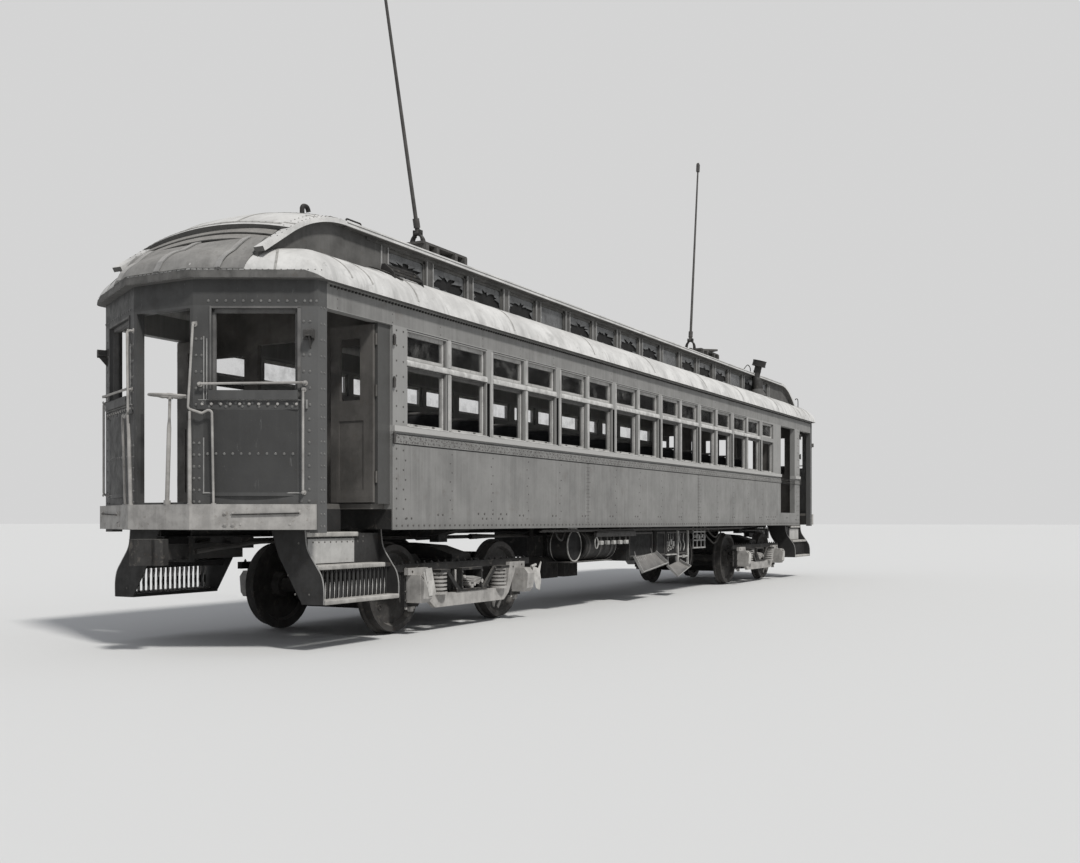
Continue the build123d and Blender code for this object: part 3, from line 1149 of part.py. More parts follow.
with BuildPart() as grids:
    length, outer, inner, foot, top = GRID
    centres = [(x + length / 2, (outer + inner) / 2, (foot + top) / 2) for x in GRIDS_X]
    with Locations(*centres):
        with GridLocations((length - GRID_PLATE) / (GRID_PLATES - 1), 1, GRID_PLATES, 1):
            Box(GRID_PLATE, inner - outer, top - foot)
    spread_y, spread_z, thick = GRID_TIE
    with Locations(*[(x, y + across_y, z + up) for x, y, z in centres
                     for across_y in (-spread_y, spread_y) for up in (-spread_z, spread_z)]):
        Box(length, thick, thick)
    strap = GRID_PLATE + 10
    with Locations(*[(x + shift, -sum(RAIL_Y[0]) / 2, (top - 10 + HUNG_TOP) / 2) for x in GRIDS_X
                     for shift in (strap / 2, length - strap / 2)]):
        Box(strap, RAIL_Y[0][1] - RAIL_Y[0][0] - 10, HUNG_TOP - top + 10)
finish(grids, "resistor_grids")
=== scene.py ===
import json
from math import atan2, cos, pi, radians, sin

import bmesh
import bpy
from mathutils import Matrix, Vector
from mathutils.bvhtree import BVHTree


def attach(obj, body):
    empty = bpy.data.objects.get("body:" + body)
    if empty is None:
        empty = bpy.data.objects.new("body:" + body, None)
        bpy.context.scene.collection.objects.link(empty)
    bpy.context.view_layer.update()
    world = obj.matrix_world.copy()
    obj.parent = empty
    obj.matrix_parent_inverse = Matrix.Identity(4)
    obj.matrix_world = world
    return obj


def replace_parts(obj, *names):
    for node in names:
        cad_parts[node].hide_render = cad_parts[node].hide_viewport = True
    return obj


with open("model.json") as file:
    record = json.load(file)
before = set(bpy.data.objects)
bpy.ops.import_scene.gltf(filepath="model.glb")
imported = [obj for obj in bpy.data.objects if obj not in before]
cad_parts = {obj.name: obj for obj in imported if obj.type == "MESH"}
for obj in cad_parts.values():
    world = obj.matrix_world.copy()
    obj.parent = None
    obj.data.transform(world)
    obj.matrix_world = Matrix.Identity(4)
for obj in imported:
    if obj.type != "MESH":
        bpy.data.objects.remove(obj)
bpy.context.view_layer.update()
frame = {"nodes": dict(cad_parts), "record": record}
ENDS = {"rear": -1, "front": 1}
SIDES = {"right": -1, "left": 1}


# ---------------------------------------------------------------- materials
class Shader:
    """Node tree of one material, in object coordinates, which are the row frame in metres."""

    def __init__(self, name, rough=0.7, metal=0.0, specular=0.35):
        self.material = bpy.data.materials.new(name)
        self.material.use_nodes = True
        self.tree = self.material.node_tree
        self.bsdf = self.tree.nodes["Principled BSDF"]
        self.bsdf.inputs["Roughness"].default_value = rough
        self.bsdf.inputs["Metallic"].default_value = metal
        self.bsdf.inputs["Specular IOR Level"].default_value = specular
        self.where = self.add("ShaderNodeTexCoord").outputs["Object"]
        split = self.add("ShaderNodeSeparateXYZ", Vector=self.where)
        self.x, self.y, self.z = split.outputs

    def add(self, kind, settings=None, **inputs):
        node = self.tree.nodes.new(kind)
        for key, value in (settings or {}).items():
            setattr(node, key, value)
        for key, value in inputs.items():
            self.feed(node.inputs[key.replace("_", " ")], value)
        return node

    def feed(self, socket, value):
        if isinstance(value, bpy.types.NodeSocket):
            self.tree.links.new(value, socket)
        elif isinstance(value, (tuple, list)) and len(value) == 3 and socket.type == "RGBA":
            socket.default_value = (*value, 1)
        else:
            socket.default_value = value

    def noise(self, scale, detail=4.0, rough=0.55, stretch=(1, 1, 1), warp=0.0, shift=0.0):
        moved = self.add("ShaderNodeMapping", Vector=self.where, Scale=tuple(scale * s for s in stretch),
                         Location=(shift, shift * 1.7, shift * 0.6))
        node = self.add("ShaderNodeTexNoise", Vector=moved.outputs[0], Scale=1.0, Detail=detail,
                        Roughness=rough, Distortion=warp)
        return node.outputs["Fac"]

    def cells(self, scale, stretch=(1, 1, 1), feature="F1"):
        moved = self.add("ShaderNodeMapping", Vector=self.where, Scale=tuple(scale * s for s in stretch))
        node = self.add("ShaderNodeTexVoronoi", {"feature": feature}, Vector=moved.outputs[0], Scale=1.0)
        return node.outputs["Distance"]

    def ranged(self, value, low, high, to_low=0.0, to_high=1.0):
        node = self.add("ShaderNodeMapRange", {"interpolation_type": "SMOOTHSTEP"})
        for index, item in enumerate((value, low, high, to_low, to_high)):
            self.feed(node.inputs[index], item)
        return node.outputs[0]

    def band(self, value, low, high, soft=0.004):
        """1 between low and high, 0 elsewhere."""
        return self.maths("MULTIPLY", self.ranged(value, low - soft, low + soft),
                          self.ranged(value, high - soft, high + soft, 1.0, 0.0))

    def maths(self, operation, first, second=0.5, clamp=False):
        node = self.add("ShaderNodeMath", {"operation": operation, "use_clamp": clamp})
        self.feed(node.inputs[0], first)
        self.feed(node.inputs[1], second)
        return node.outputs[0]

    def mix(self, factor, first, second, mode="MIX"):
        node = self.add("ShaderNodeMix", {"data_type": "RGBA", "blend_type": mode})
        for socket, value in ((node.inputs[0], factor), (node.inputs[6], first), (node.inputs[7], second)):
            self.feed(socket, value)
        return node.outputs[2]

    def bump(self, height, strength=0.3, distance=0.01):
        node = self.add("ShaderNodeBump", Height=height, Strength=strength, Distance=distance)
        self.feed(self.bsdf.inputs["Normal"], node.outputs[0])

    def colour(self, value):
        self.feed(self.bsdf.inputs["Base Color"], value)
        return self

    def rough(self, value):
        self.feed(self.bsdf.inputs["Roughness"], value)
        return self


RUST = (0.085, 0.058, 0.042)
DUST = (0.42, 0.40, 0.37)


def weathered(name, base, spread=0.25, streak=0.35, rust=0.3, dust=0.25, rough=0.72, scale=1.0, bump=0.25, layers=None):
    """Old paint or iron: mottled base, rain streaks that run down, rust in patches, dust on what faces up."""
    s = Shader(name, rough)
    dark = tuple(c * (1 - spread) for c in base)
    pale = tuple(min(0.95, c * (1 + spread)) for c in base)
    mottle = s.noise(2.2 * scale, 6, 0.62)
    colour = s.mix(s.ranged(mottle, 0.32, 0.68), dark, pale)
    runs = s.noise(9.0 * scale, 5, 0.6, (1, 1, 0.07), 0.2, 3.0)
    colour = s.mix(s.maths("MULTIPLY", s.ranged(runs, 0.5, 0.72), streak), colour, tuple(c * 1.5 for c in base))
    runs_dark = s.noise(13.0 * scale, 5, 0.65, (1, 1, 0.06), 0.3, 11.0)
    colour = s.mix(s.maths("MULTIPLY", s.ranged(runs_dark, 0.52, 0.75), streak), colour, tuple(c * 0.45 for c in base))
    spots = s.noise(7.0 * scale, 8, 0.7, shift=7.0)
    colour = s.mix(s.maths("MULTIPLY", s.ranged(spots, 0.57, 0.7), rust), colour, RUST)
    up = s.add("ShaderNodeSeparateXYZ", Vector=s.add("ShaderNodeNewGeometry").outputs["Normal"]).outputs[2]
    if layers:
        colour = layers(s, colour, base, up)
    fine = s.noise(30.0 * scale, 4, 0.6, shift=2.0)
    settled = s.maths("MULTIPLY", s.ranged(up, 0.35, 0.95), s.ranged(fine, 0.3, 0.6, 0.5, 1.0))
    colour = s.mix(s.maths("MULTIPLY", settled, dust), colour, DUST)
    s.colour(colour)
    s.rough(s.ranged(spots, 0.35, 0.7, rough - 0.12, min(1.0, rough + 0.15)))
    s.bump(s.maths("ADD", s.maths("MULTIPLY", fine, 0.5), spots), bump, 0.004)
    return s


def tint(colour, share):
    return tuple(c * share for c in colour)


def side_layers(s, colour, base, up):
    """Brushed streaks down the sheet, paler posts and sill, a scabby belt, damp foot, rust with painted shade round the
    rivets at the foot, painted shade on the doorway jambs.
    """
    brush = s.noise(17.0, 5, 0.65, (1, 1, 0.022), shift=5.0)
    colour = s.mix(s.ranged(brush, 0.30, 0.50, 0.30, 0.0), colour, tint(base, 0.62))
    colour = s.mix(s.ranged(brush, 0.50, 0.70, 0.0, 0.40), colour, tint(base, 1.45))
    broad = s.noise(1.3, 2, 0.5, (1, 0.1, 0.1), shift=9.0)
    colour = s.mix(s.ranged(broad, 0.35, 0.65, 0.0, 0.28), colour, tint(base, 1.30))
    post = s.band(s.z, 2.02, 3.075)
    colour = s.mix(s.maths("MULTIPLY", post, 0.50), colour, (0.30, 0.297, 0.287))
    sill = s.band(s.z, 2.048, 2.108)
    colour = s.mix(s.maths("MULTIPLY", sill, 0.75), colour, (0.40, 0.395, 0.38))
    scabs = s.noise(46.0, 6, 0.7, (1, 1, 1.3), 0.4, 2.0)
    belt = s.maths("MULTIPLY", s.band(s.z, 1.934, 2.022), s.ranged(scabs, 0.50, 0.60))
    colour = s.mix(s.maths("MULTIPLY", belt, 0.8), colour, (0.055, 0.05, 0.045))
    foot = s.ranged(s.z, 1.10, 1.24, 0.35, 0.0)
    colour = s.mix(foot, colour, tint(base, 0.55))
    # dark spots round the rivet heads at the foot of the sheet: rust, with painted shade
    heads = s.ranged(s.cells(10.4, (1, 0, 1)), 0.02, 0.09, 0.35, 0.0)
    colour = s.mix(s.maths("MULTIPLY", heads, s.ranged(s.z, 1.12, 1.35, 1.0, 0.0)), colour, tint(base, 0.4))
    # painted shade on the doorway jambs, below the head
    jamb_shade = s.maths("ADD", s.band(s.x, -7.415, -7.203), s.band(s.x, 7.353, 7.415))
    return s.mix(s.maths("MULTIPLY", jamb_shade, s.ranged(s.z, 3.065, 3.072, 0.93, 0.0)), colour, tint(base, 0.28))


def sash_layers(s, colour, base, up):
    """The head rails of the lower lights are painted dark as shade; the rest is bleached, with the old colour in the
    corners.
    """
    # painted shade on the head rails of the lower lights
    colour = s.mix(s.maths("MULTIPLY", s.band(s.z, 2.658, 2.702), 0.85), colour, (0.035, 0.034, 0.033))
    flakes = s.noise(34.0, 7, 0.72, (1, 1, 0.5), 0.3, 5.0)
    return s.mix(s.ranged(flakes, 0.56, 0.64, 0.0, 0.6), colour, (0.15, 0.145, 0.135))


def lining_layers(s, colour, base, up):
    """Matched boards with a groove between them."""
    groove = s.maths("ABSOLUTE", s.maths("SINE", s.maths("MULTIPLY", s.y, pi / 0.068)))
    flat = s.ranged(s.maths("ABSOLUTE", up), 0.25, 0.5)
    colour = s.mix(s.maths("MULTIPLY", s.ranged(groove, 0.0, 0.16, 0.75, 0.0), flat), colour, tint(base, 0.25))
    patch = s.noise(3.0, 6, 0.65, (0.5, 1, 1), 0.3, 1.0)
    return s.mix(s.ranged(patch, 0.5, 0.7, 0.0, 0.5), colour, tint(base, 1.9))


def end_layers(s, colour, base, up):
    """Darker dash panels, letterboard and head, scratched and patched with paler primer."""
    run = s.maths("ABSOLUTE", s.x)
    dash = s.maths("MULTIPLY", s.band(run, 8.410, 8.806), s.band(s.z, 1.430, 2.155))
    colour = s.mix(s.maths("MULTIPLY", dash, 0.62), colour, tint(base, 0.42))
    head = s.maths("MULTIPLY", s.ranged(run, 8.335, 8.345), s.ranged(s.z, 3.07, 3.075))
    colour = s.mix(s.maths("MULTIPLY", head, 0.45), colour, tint(base, 0.5))
    post = s.maths("MULTIPLY", s.ranged(run, 8.395, 8.405, 1.0, 0.0), s.ranged(s.z, 3.06, 3.07, 1.0, 0.0))
    colour = s.mix(s.maths("MULTIPLY", post, 0.5), colour, tint(base, 1.9))
    scratch = s.noise(24.0, 7, 0.75, (1, 1, 0.25), 0.6, 4.0)
    colour = s.mix(s.ranged(scratch, 0.63, 0.70, 0.0, 0.55), colour, tint(base, 2.6))
    chips = s.noise(60.0, 6, 0.75, shift=1.0)
    return s.mix(s.ranged(chips, 0.66, 0.70, 0.0, 0.6), colour, (0.26, 0.25, 0.235))


def roof_layers(s, colour, base, up):
    """Bleached canvas with grime in blots, darker at its foot, and painted shade on what faces down."""
    blots = s.noise(3.1, 7, 0.68, (0.6, 1, 1), 0.5, 6.0)
    colour = s.mix(s.ranged(blots, 0.52, 0.70, 0.0, 0.55), colour, tint(base, 0.52))
    cracks = s.noise(15.0, 8, 0.78, (0.5, 1, 1), 1.2, 8.0)
    colour = s.mix(s.ranged(cracks, 0.60, 0.66, 0.0, 0.5), colour, tint(base, 0.4))
    drips = s.noise(8.0, 5, 0.6, (1, 0.15, 0.15), 0.3, 2.0)
    low_down = s.ranged(s.z, 3.30, 3.60, 0.5, 0.0)
    colour = s.mix(s.maths("MULTIPLY", s.ranged(drips, 0.50, 0.66), low_down), colour, tint(base, 0.5))
    # what faces down is painted near-black as shade
    return s.mix(s.ranged(up, -0.45, -0.15, 0.88, 0.0), colour, (0.05, 0.048, 0.045))


def plank_layers(s, colour, base, up):
    """Grain along the board, split and bleached."""
    grain = s.noise(11.0, 7, 0.7, (0.12, 4, 4), 0.2, 3.0)
    colour = s.mix(s.ranged(grain, 0.35, 0.60, 0.65, 0.0), colour, tint(base, 0.45))
    return s.mix(s.ranged(grain, 0.60, 0.75, 0.0, 0.5), colour, tint(base, 1.5))


def iron_layers(s, colour, base, up):
    """Caked dirt and grease, paler where it has dried."""
    cake = s.noise(9.0, 8, 0.72, warp=0.5, shift=3.0)
    colour = s.mix(s.ranged(cake, 0.55, 0.68, 0.0, 0.5), colour, (0.13, 0.118, 0.102))
    return s.mix(s.ranged(cake, 0.30, 0.44, 0.6, 0.0), colour, tint(base, 0.35))


def glass(name):
    """Thin window glass with a film of dirt."""
    s = Shader(name, 0.08, specular=0.25)
    dirt = s.noise(5.0, 6, 0.65)
    s.colour(s.mix(s.ranged(dirt, 0.40, 0.70), (0.02, 0.021, 0.022), (0.16, 0.158, 0.15)))
    s.feed(s.bsdf.inputs["Alpha"], s.ranged(dirt, 0.42, 0.75, 0.06, 0.22))
    return s


# base colour, then what weathered() takes after it, in its order
PAINTS = {
    "side_sheet": ((0.178, 0.176, 0.169), 0.14, 0.30, 0.20, 0.45, 0.7, 1.0, 0.2, side_layers),
    "end_sheet": ((0.060, 0.060, 0.059), 0.2, 0.3, 0.25, 0.5, 0.62, 1.0, 0.25, end_layers),
    "sash_paint": ((0.37, 0.365, 0.35), 0.2, 0.3, 0.25, 0.5, 0.75, 1.5, 0.25, sash_layers),
    "floor_wood": ((0.10, 0.095, 0.088), 0.3, 0.1, 0.3, 0.5, 0.9),
    "interior_wood": ((0.085, 0.08, 0.074), 0.3, 0.3, 0.2, 0.3, 0.7, 1.0, 0.25, lining_layers),
    "seat_cloth": ((0.032, 0.032, 0.034), 0.3, 0.1, 0.1, 0.25, 0.95, 3),
    "roof_canvas": ((0.52, 0.515, 0.50), 0.14, 0.2, 0.16, 0.2, 0.85, 1.2, 0.3, roof_layers),
    "clerestory_wood": ((0.085, 0.083, 0.079), 0.25, 0.45, 0.25, 0.3, 0.85, 1.5),
    "roof_boards": ((0.08, 0.077, 0.073), 0.3, 0.2, 0.3, 0.25, 0.9, 1.0, 0.4, plank_layers),
    "dark_iron": ((0.025, 0.024, 0.023), 0.3, 0.2, 0.45, 0.22, 0.75, 2.5, 0.4, iron_layers),
    "dusty_steel": ((0.30, 0.29, 0.275), 0.22, 0.2, 0.4, 0.4, 0.75, 2.5),
    "step_steel": ((0.024, 0.0235, 0.023), 0.25, 0.3, 0.25, 0.25, 0.7, 1.6),
    "wheel_steel": ((0.034, 0.032, 0.030), 0.3, 0.2, 0.5, 0.3, 0.7, 3, 0.4, iron_layers),
    "pole_steel": ((0.06, 0.057, 0.054), 0.3, 0.2, 0.4, 0.2, 0.6, 3),
    "under_paint": ((0.019, 0.0185, 0.018), 0.3, 0.2, 0.3, 0.3, 0.85, 1.5, 0.4, iron_layers),
    "rivet_dark": ((0.085, 0.082, 0.077), 0.2, 0.1, 0.5, 0.35, 0.75, 4),
    "rivet_pale": ((0.12, 0.119, 0.116), 0.2, 0.1, 0.2, 0.7, 0.55, 4),
    "trim_pale": ((0.24, 0.237, 0.23), 0.2, 0.1, 0.2, 0.4, 0.6, 3),
    "trim_dull": ((0.105, 0.103, 0.10), 0.25, 0.2, 0.3, 0.4, 0.7, 3),
    "tread_wood": ((0.34, 0.33, 0.31), 0.25, 0.3, 0.35, 0.3, 0.9, 3),
    "bar_paint": ((0.40, 0.395, 0.38), 0.22, 0.3, 0.4, 0.2, 0.8, 3),
    "riser_paint": ((0.38, 0.375, 0.36), 0.15, 0.25, 0.3, 0.2, 0.8, 2),
    "lid_paint": ((0.40, 0.39, 0.37), 0.25, 0.3, 0.35, 0.2, 0.85, 3),
    "flashing": ((0.085, 0.083, 0.079), 0.35, 0.4, 0.35, 0.35, 0.8, 2),
    "nail_iron": ((0.030, 0.028, 0.026), 0.3, 0.2, 0.6, 0.2, 0.8, 4),
    "seam_canvas": ((0.30, 0.295, 0.28), 0.3, 0.3, 0.4, 0.15, 0.85, 4),
    "slat_paint": ((0.13, 0.127, 0.12), 0.3, 0.3, 0.3, 0.5, 0.85, 2),
    "panel_paint": ((0.165, 0.162, 0.155), 0.25, 0.4, 0.25, 0.25, 0.85, 1.6),
    "roof_walk": ((0.075, 0.072, 0.068), 0.35, 0.3, 0.4, 0.35, 0.9, 3),
    "trim_bright": ((0.34, 0.335, 0.32), 0.35, 0.3, 0.3, 0.3, 0.75, 4),
    "clerestory_sash": ((0.08, 0.078, 0.073), 0.3, 0.3, 0.3, 0.3, 0.8, 3),
    "dirty_pane": ((0.085, 0.087, 0.088), 0.35, 0.5, 0.15, 0.2, 0.35, 3, 0.05),
    # near-black that stands in for shade: painted shade in slots, gaps and joints, behind the clerestory lights, in the
    # boxes and on the drum's end
    "painted_shade_black": ((0.008, 0.008, 0.008), 0.3, 0.2, 0.1, 0.0, 0.9, 2),
    "cushion_back": ((0.17, 0.166, 0.158), 0.3, 0.1, 0.1, 0.35, 0.9, 3),
    "sill_paint": ((0.42, 0.415, 0.40), 0.25, 0.2, 0.3, 0.3, 0.8, 4),
    "seat_iron": ((0.03, 0.029, 0.028), 0.3, 0.1, 0.4, 0.3, 0.6, 3),
    "pipe_iron": ((0.035, 0.033, 0.031), 0.3, 0.1, 0.5, 0.3, 0.7, 3),
    "cover_paint": ((0.33, 0.326, 0.315), 0.2, 0.4, 0.25, 0.3, 0.75, 3),
    "cap_paint": ((0.115, 0.113, 0.108), 0.25, 0.3, 0.2, 0.4, 0.7, 3),
    "bracket_iron": ((0.05, 0.048, 0.046), 0.3, 0.2, 0.5, 0.4, 0.7, 4),
}
M = {name: weathered(name, *row).material for name, row in PAINTS.items()}
M["clear_glass"] = glass("clear_glass").material

node_slot = {row["node"]: row["material_slot"] for row in frame["record"]["subparts"]}
for name, obj in frame["nodes"].items():
    slot = node_slot[name]
    obj.data.materials.clear()
    obj.data.materials.append(M[slot])


# ---------------------------------------------------------------- building pieces
HALF = 1.32                     # centre line to the side sheet
# a slanting end wall runs from its corner at the side to the flat end, which is twice END_FLAT wide
CORNER_X, END_FACE_X, END_FLAT = 8.325, 8.85, 0.36
FACET = Vector((END_FACE_X - CORNER_X, END_FLAT - HALF, 0)).normalized()
FACET_OUT = Vector((-FACET.y, FACET.x, 0))
TRUCK_X, HALF_WHEELBASE, AXLE_Z = 5.35, 1.1, 0.482
FIRST_PAIR, PAIR_PITCH = -6.951, 1.672      # first pair of windows and the step to the next
BAY = 0.836                     # pitch of the seat rows and of the clerestory panes
PAIR_STARTS = [FIRST_PAIR + PAIR_PITCH * k for k in range(7)]
MULLION, POST_SLOT, POST_COVER = 0.711, 1.534, 1.622        # from the start of a pair
WINDOWS = [start + shift for start in PAIR_STARTS for shift in (0, 0.808)] + [4.753]


def turned(end, side, point):
    """A point of the front left quarter, mirrored to an end and a side."""
    return Vector((ENDS[end] * point[0], SIDES[side] * point[1], point[2]))


def facet(end, side, run, out, z):
    """Point a run along a slanting end wall from its corner, out from its face."""
    flat = Vector((CORNER_X, HALF, 0)) + run * FACET + out * FACET_OUT
    return turned(end, side, (flat.x, flat.y, z))


def facet_normal(end, side):
    return turned(end, side, FACET_OUT)


def off_side(s, low, high):
    """Y range at one side of the car, both values measured out from its sheet."""
    return s * (HALF + low), s * (HALF + high)


def profile(piece, s, x, corners, length):
    """Moulding along a side of the car, from a section of points out from its sheet and up."""
    piece.prism([(x, s * (HALF + out), z) for out, z in corners], (length, 0, 0))


class Piece:
    """Mesh of many small parts that share a material and ride on one body."""

    def __init__(self, name, material, slot, body="car"):
        self.name, self.material, self.slot, self.body = name, M[material], slot, body
        self.verts, self.faces = [], []

    def add(self, verts, faces):
        base = len(self.verts)
        self.verts.extend(tuple(v) for v in verts)
        self.faces.extend(tuple(base + i for i in face) for face in faces)

    def prism(self, outline, push):
        """Closed outline of points, pushed along a vector."""
        push, n = Vector(push), len(outline)
        low = [Vector(p) for p in outline]
        faces = [(i, (i + 1) % n, n + (i + 1) % n, n + i) for i in range(n)]
        faces += [tuple(reversed(range(n))), tuple(range(n, 2 * n))]
        self.add(low + [p + push for p in low], faces)

    def box(self, xs, ys, zs):
        (x0, x1), (y0, y1), (z0, z1) = (sorted(pair) for pair in (xs, ys, zs))
        self.prism([(x0, y0, z0), (x1, y0, z0), (x1, y1, z0), (x0, y1, z0)], (0, 0, z1 - z0))

    def bar(self, start, stop, width, thick, up=(0, 0, 1)):
        """Straight bar of a flat section; width lies along up."""
        start, stop = Vector(start), Vector(stop)
        along = (stop - start).normalized()
        side = along.cross(Vector(up)).normalized()
        rise = side.cross(along)
        corners = [start + rise * a * width / 2 + side * b * thick / 2 for a, b in ((-1, -1), (1, -1), (1, 1), (-1, 1))]
        self.prism(corners, stop - start)

    def tube(self, points, radius, sides=10, radii=None):
        """Round bar through points; its corners are as close as the points make them."""
        points = [Vector(p) for p in points]
        count = len(points)
        radii = radii or [radius] * count
        verts = []
        before = None
        for i, point in enumerate(points):
            tangent = (points[min(i + 1, count - 1)] - points[max(i - 1, 0)]).normalized()
            if before is None:
                first = tangent.orthogonal().normalized()
            else:
                first = (before - tangent * before.dot(tangent)).normalized()
            before = first
            second = tangent.cross(first)
            stretch = 1.0
            if 0 < i < count - 1:
                turn = (points[i] - points[i - 1]).angle(points[i + 1] - points[i])
                stretch = 1 / max(0.6, cos(turn / 2))
            verts += circle(point, first, second, radii[i] * stretch, sides)
        faces = []
        for i in range(count - 1):
            for k in range(sides):
                a, b = i * sides + k, i * sides + (k + 1) % sides
                faces.append((a, b, b + sides, a + sides))
        faces.append(tuple(reversed(range(sides))))
        faces.append(tuple(range((count - 1) * sides, count * sides)))
        self.add(verts, faces)

    def dome(self, at, normal, radius=0.0125, height=0.008, sides=8):
        """Round rivet head."""
        normal = Vector(normal).normalized()
        first = normal.orthogonal().normalized()
        second = normal.cross(first)
        at = Vector(at) - normal * 0.001
        verts = circle(at, first, second, radius, sides)
        verts += [p + normal * height * 0.62 for p in circle(at, first, second, radius * 0.8, sides)]
        verts.append(at + normal * height)
        faces = []
        for k in range(sides):
            a, b = k, (k + 1) % sides
            faces += [(a, b, b + sides, a + sides), (a + sides, b + sides, 2 * sides)]
        faces.append(tuple(reversed(range(sides))))
        self.add(verts, faces)

    def disc(self, at, normal, radius, depth, sides=20, inner=0.0):
        """Short round plate or washer that stands out from a point."""
        normal = Vector(normal).normalized()
        first = normal.orthogonal().normalized()
        second = normal.cross(first)
        at = Vector(at)

        def ring(r, d):
            return [p + normal * d for p in circle(at, first, second, r, sides)]

        if inner:
            verts = ring(radius, 0) + ring(radius, depth) + ring(inner, depth) + ring(inner, 0)
            faces = []
            for k in range(sides):
                j = (k + 1) % sides
                for row in range(4):
                    a, b = row * sides, (row + 1) % 4 * sides
                    faces.append((a + k, a + j, b + j, b + k))
        else:
            verts = ring(radius, 0) + ring(radius, depth)
            faces = [(k, (k + 1) % sides, sides + (k + 1) % sides, sides + k) for k in range(sides)]
            faces += [tuple(reversed(range(sides))), tuple(range(sides, 2 * sides))]
        self.add(verts, faces)

    def sheet(self, rows, thick):
        """Thin plate through a grid of points, thickened against its normals."""
        height, width = len(rows), len(rows[0])
        top = [Vector(p) for row in rows for p in row]
        normals = []
        for i in range(height):
            for j in range(width):
                along = top[i * width + min(j + 1, width - 1)] - top[i * width + max(j - 1, 0)]
                up = top[min(i + 1, height - 1) * width + j] - top[max(i - 1, 0) * width + j]
                normals.append(along.cross(up).normalized())
        low = [p - n * thick for p, n in zip(top, normals)]
        count = height * width
        faces = []
        for i in range(height - 1):
            for j in range(width - 1):
                a = i * width + j
                faces.append((a, a + 1, a + width + 1, a + width))
                faces.append((count + a, count + a + width, count + a + width + 1, count + a + 1))
        for i in range(height - 1):
            a, b = i * width, i * width + width - 1
            faces.append((a, a + width, count + a + width, count + a))
            faces.append((b, count + b, count + b + width, b + width))
        for j in range(width - 1):
            a, b = j, (height - 1) * width + j
            faces.append((a, count + a, count + a + 1, a + 1))
            faces.append((b, b + 1, count + b + 1, count + b))
        self.add(top + low, faces)

    def done(self, bevel=0.0, segments=2):
        mesh = bpy.data.meshes.new(self.name)
        mesh.from_pydata(self.verts, [], self.faces)
        mesh.validate()
        work = bmesh.new()
        work.from_mesh(mesh)
        bmesh.ops.recalc_face_normals(work, faces=work.faces)
        work.to_mesh(mesh)
        work.free()
        mesh.materials.append(self.material)
        mesh.polygons.foreach_set("use_smooth", [True] * len(mesh.polygons))
        mesh.set_sharp_from_angle(angle=radians(38))
        piece = bpy.data.objects.new(self.name, mesh)
        bpy.context.scene.collection.objects.link(piece)
        if bevel:
            edge = piece.modifiers.new("edges", "BEVEL")
            edge.width, edge.segments, edge.limit_method, edge.angle_limit = bevel, segments, "ANGLE", radians(50)
        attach(piece, self.body)
        return piece


def circle(centre, first, second, radius, sides, extra=0):
    """Points about a centre in the plane of two vectors; one extra closes the line."""
    angles = [2 * pi * k / sides for k in range(sides + extra)]
    return [centre + (first * cos(a) + second * sin(a)) * radius for a in angles]


def steps(low, high, pitch):
    """Values from low to high at about a pitch, both ends included."""
    count = max(1, round((high - low) / pitch))
    return [low + (high - low) * k / count for k in range(count + 1)]


# ---------------------------------------------------------------- rivets of the sides
SHEET_SEAMS = (-2.85, 1.29)
for side, s in SIDES.items():
    # rivet heads in a darker colour than the sheet: rust, with painted shade
    heads = Piece(f"side_rivets_{side}", "rivet_dark", "side_sheet")
    out = (0, s, 0)

    def head(x, z, face=HALF, size=0.0115):
        heads.dome((x, s * face, z), out, size, size * 0.66)

    for x in steps(-7.137, 7.29, 0.0965):                       # foot of the sheet
        head(x, 1.137, size=0.0135)
    for end in (-1, 1):
        edge = 7.137 if end < 0 else 7.287
        for k in range(8):
            head(end * edge, 1.207 + 0.0965 * k)
            head(end * (edge - (0.117 if k % 2 else 0.153)), 1.203 + 0.0955 * k)
        for z in steps(2.15, 3.03, 0.148):
            head(end * edge, z)
            head(end * (edge - 0.115), z)
        for x in (-0.173, -0.255):
            head(end * (edge + x), 1.207, size=0.0135)
    for start in PAIR_STARTS:                                   # staggered columns under the posts
        for centre in (0.80, 1.645):
            for k in range(8):
                x = start + centre + (0.018 if k % 2 else -0.018)
                head(x, 1.207 + 0.0955 * k, size=0.0095)
        for z in steps(2.075, 3.02, 0.15):                      # mullions and window posts
            for x in (0.772, 1.64):
                head(start + x, z, size=0.0085)
    for x in steps(-7.12, 7.30, 0.0965):                        # belt, in two rows
        head(x, 1.996, HALF + 0.010, 0.0100)
        head(x + 0.045, 1.956, HALF + 0.010, 0.0100)
    for centre in (-5.30, 5.30):                                # ends of the bolsters and cross bearers
        for x in (-0.30, -0.17, 0.01, 0.187, 0.317):
            head(centre + x, 1.260, size=0.0145)
        for x in (-0.213, -0.127, 0.141, 0.224):
            head(centre + x, 1.208, size=0.0145)
    for x in (-6.357, -4.632, -3.80, -2.97, -2.11, -1.25, -0.39, 0.47, 1.33, 2.19, 3.05, 3.85, 4.63, 6.40):
        for shift in (-0.044, 0.044):
            head(x + shift, 1.246, size=0.0145)
    for seam in SHEET_SEAMS:
        for z in steps(1.16, 1.92, 0.047):
            for shift in (-0.026, 0.026):
                head(seam + shift, z, size=0.0085)
    for x in steps(-8.05, 8.05, 0.845):                         # letterboard
        for z in (3.095, 3.175, 3.262):
            head(x, z, size=0.0075)
    heads.done()

    laps = Piece(f"sheet_seam_shade_{side}", "rivet_dark", "side_sheet")
    # a thin dark strip at each sheet seam: painted shade in the groove
    for seam in SHEET_SEAMS:
        laps.box((seam - 0.0025, seam + 0.0025), off_side(s, -0.004, 0.002), (1.10, 1.934))
    laps.done()

    tacks = Piece(f"gutter_tacks_{side}", "dark_iron", "dark_iron")
    for x in steps(-8.15, 8.15, 0.052):
        tacks.box((x - 0.009, x + 0.009), off_side(s, 0.001, 0.017), (3.268, 3.286))
    tacks.done()

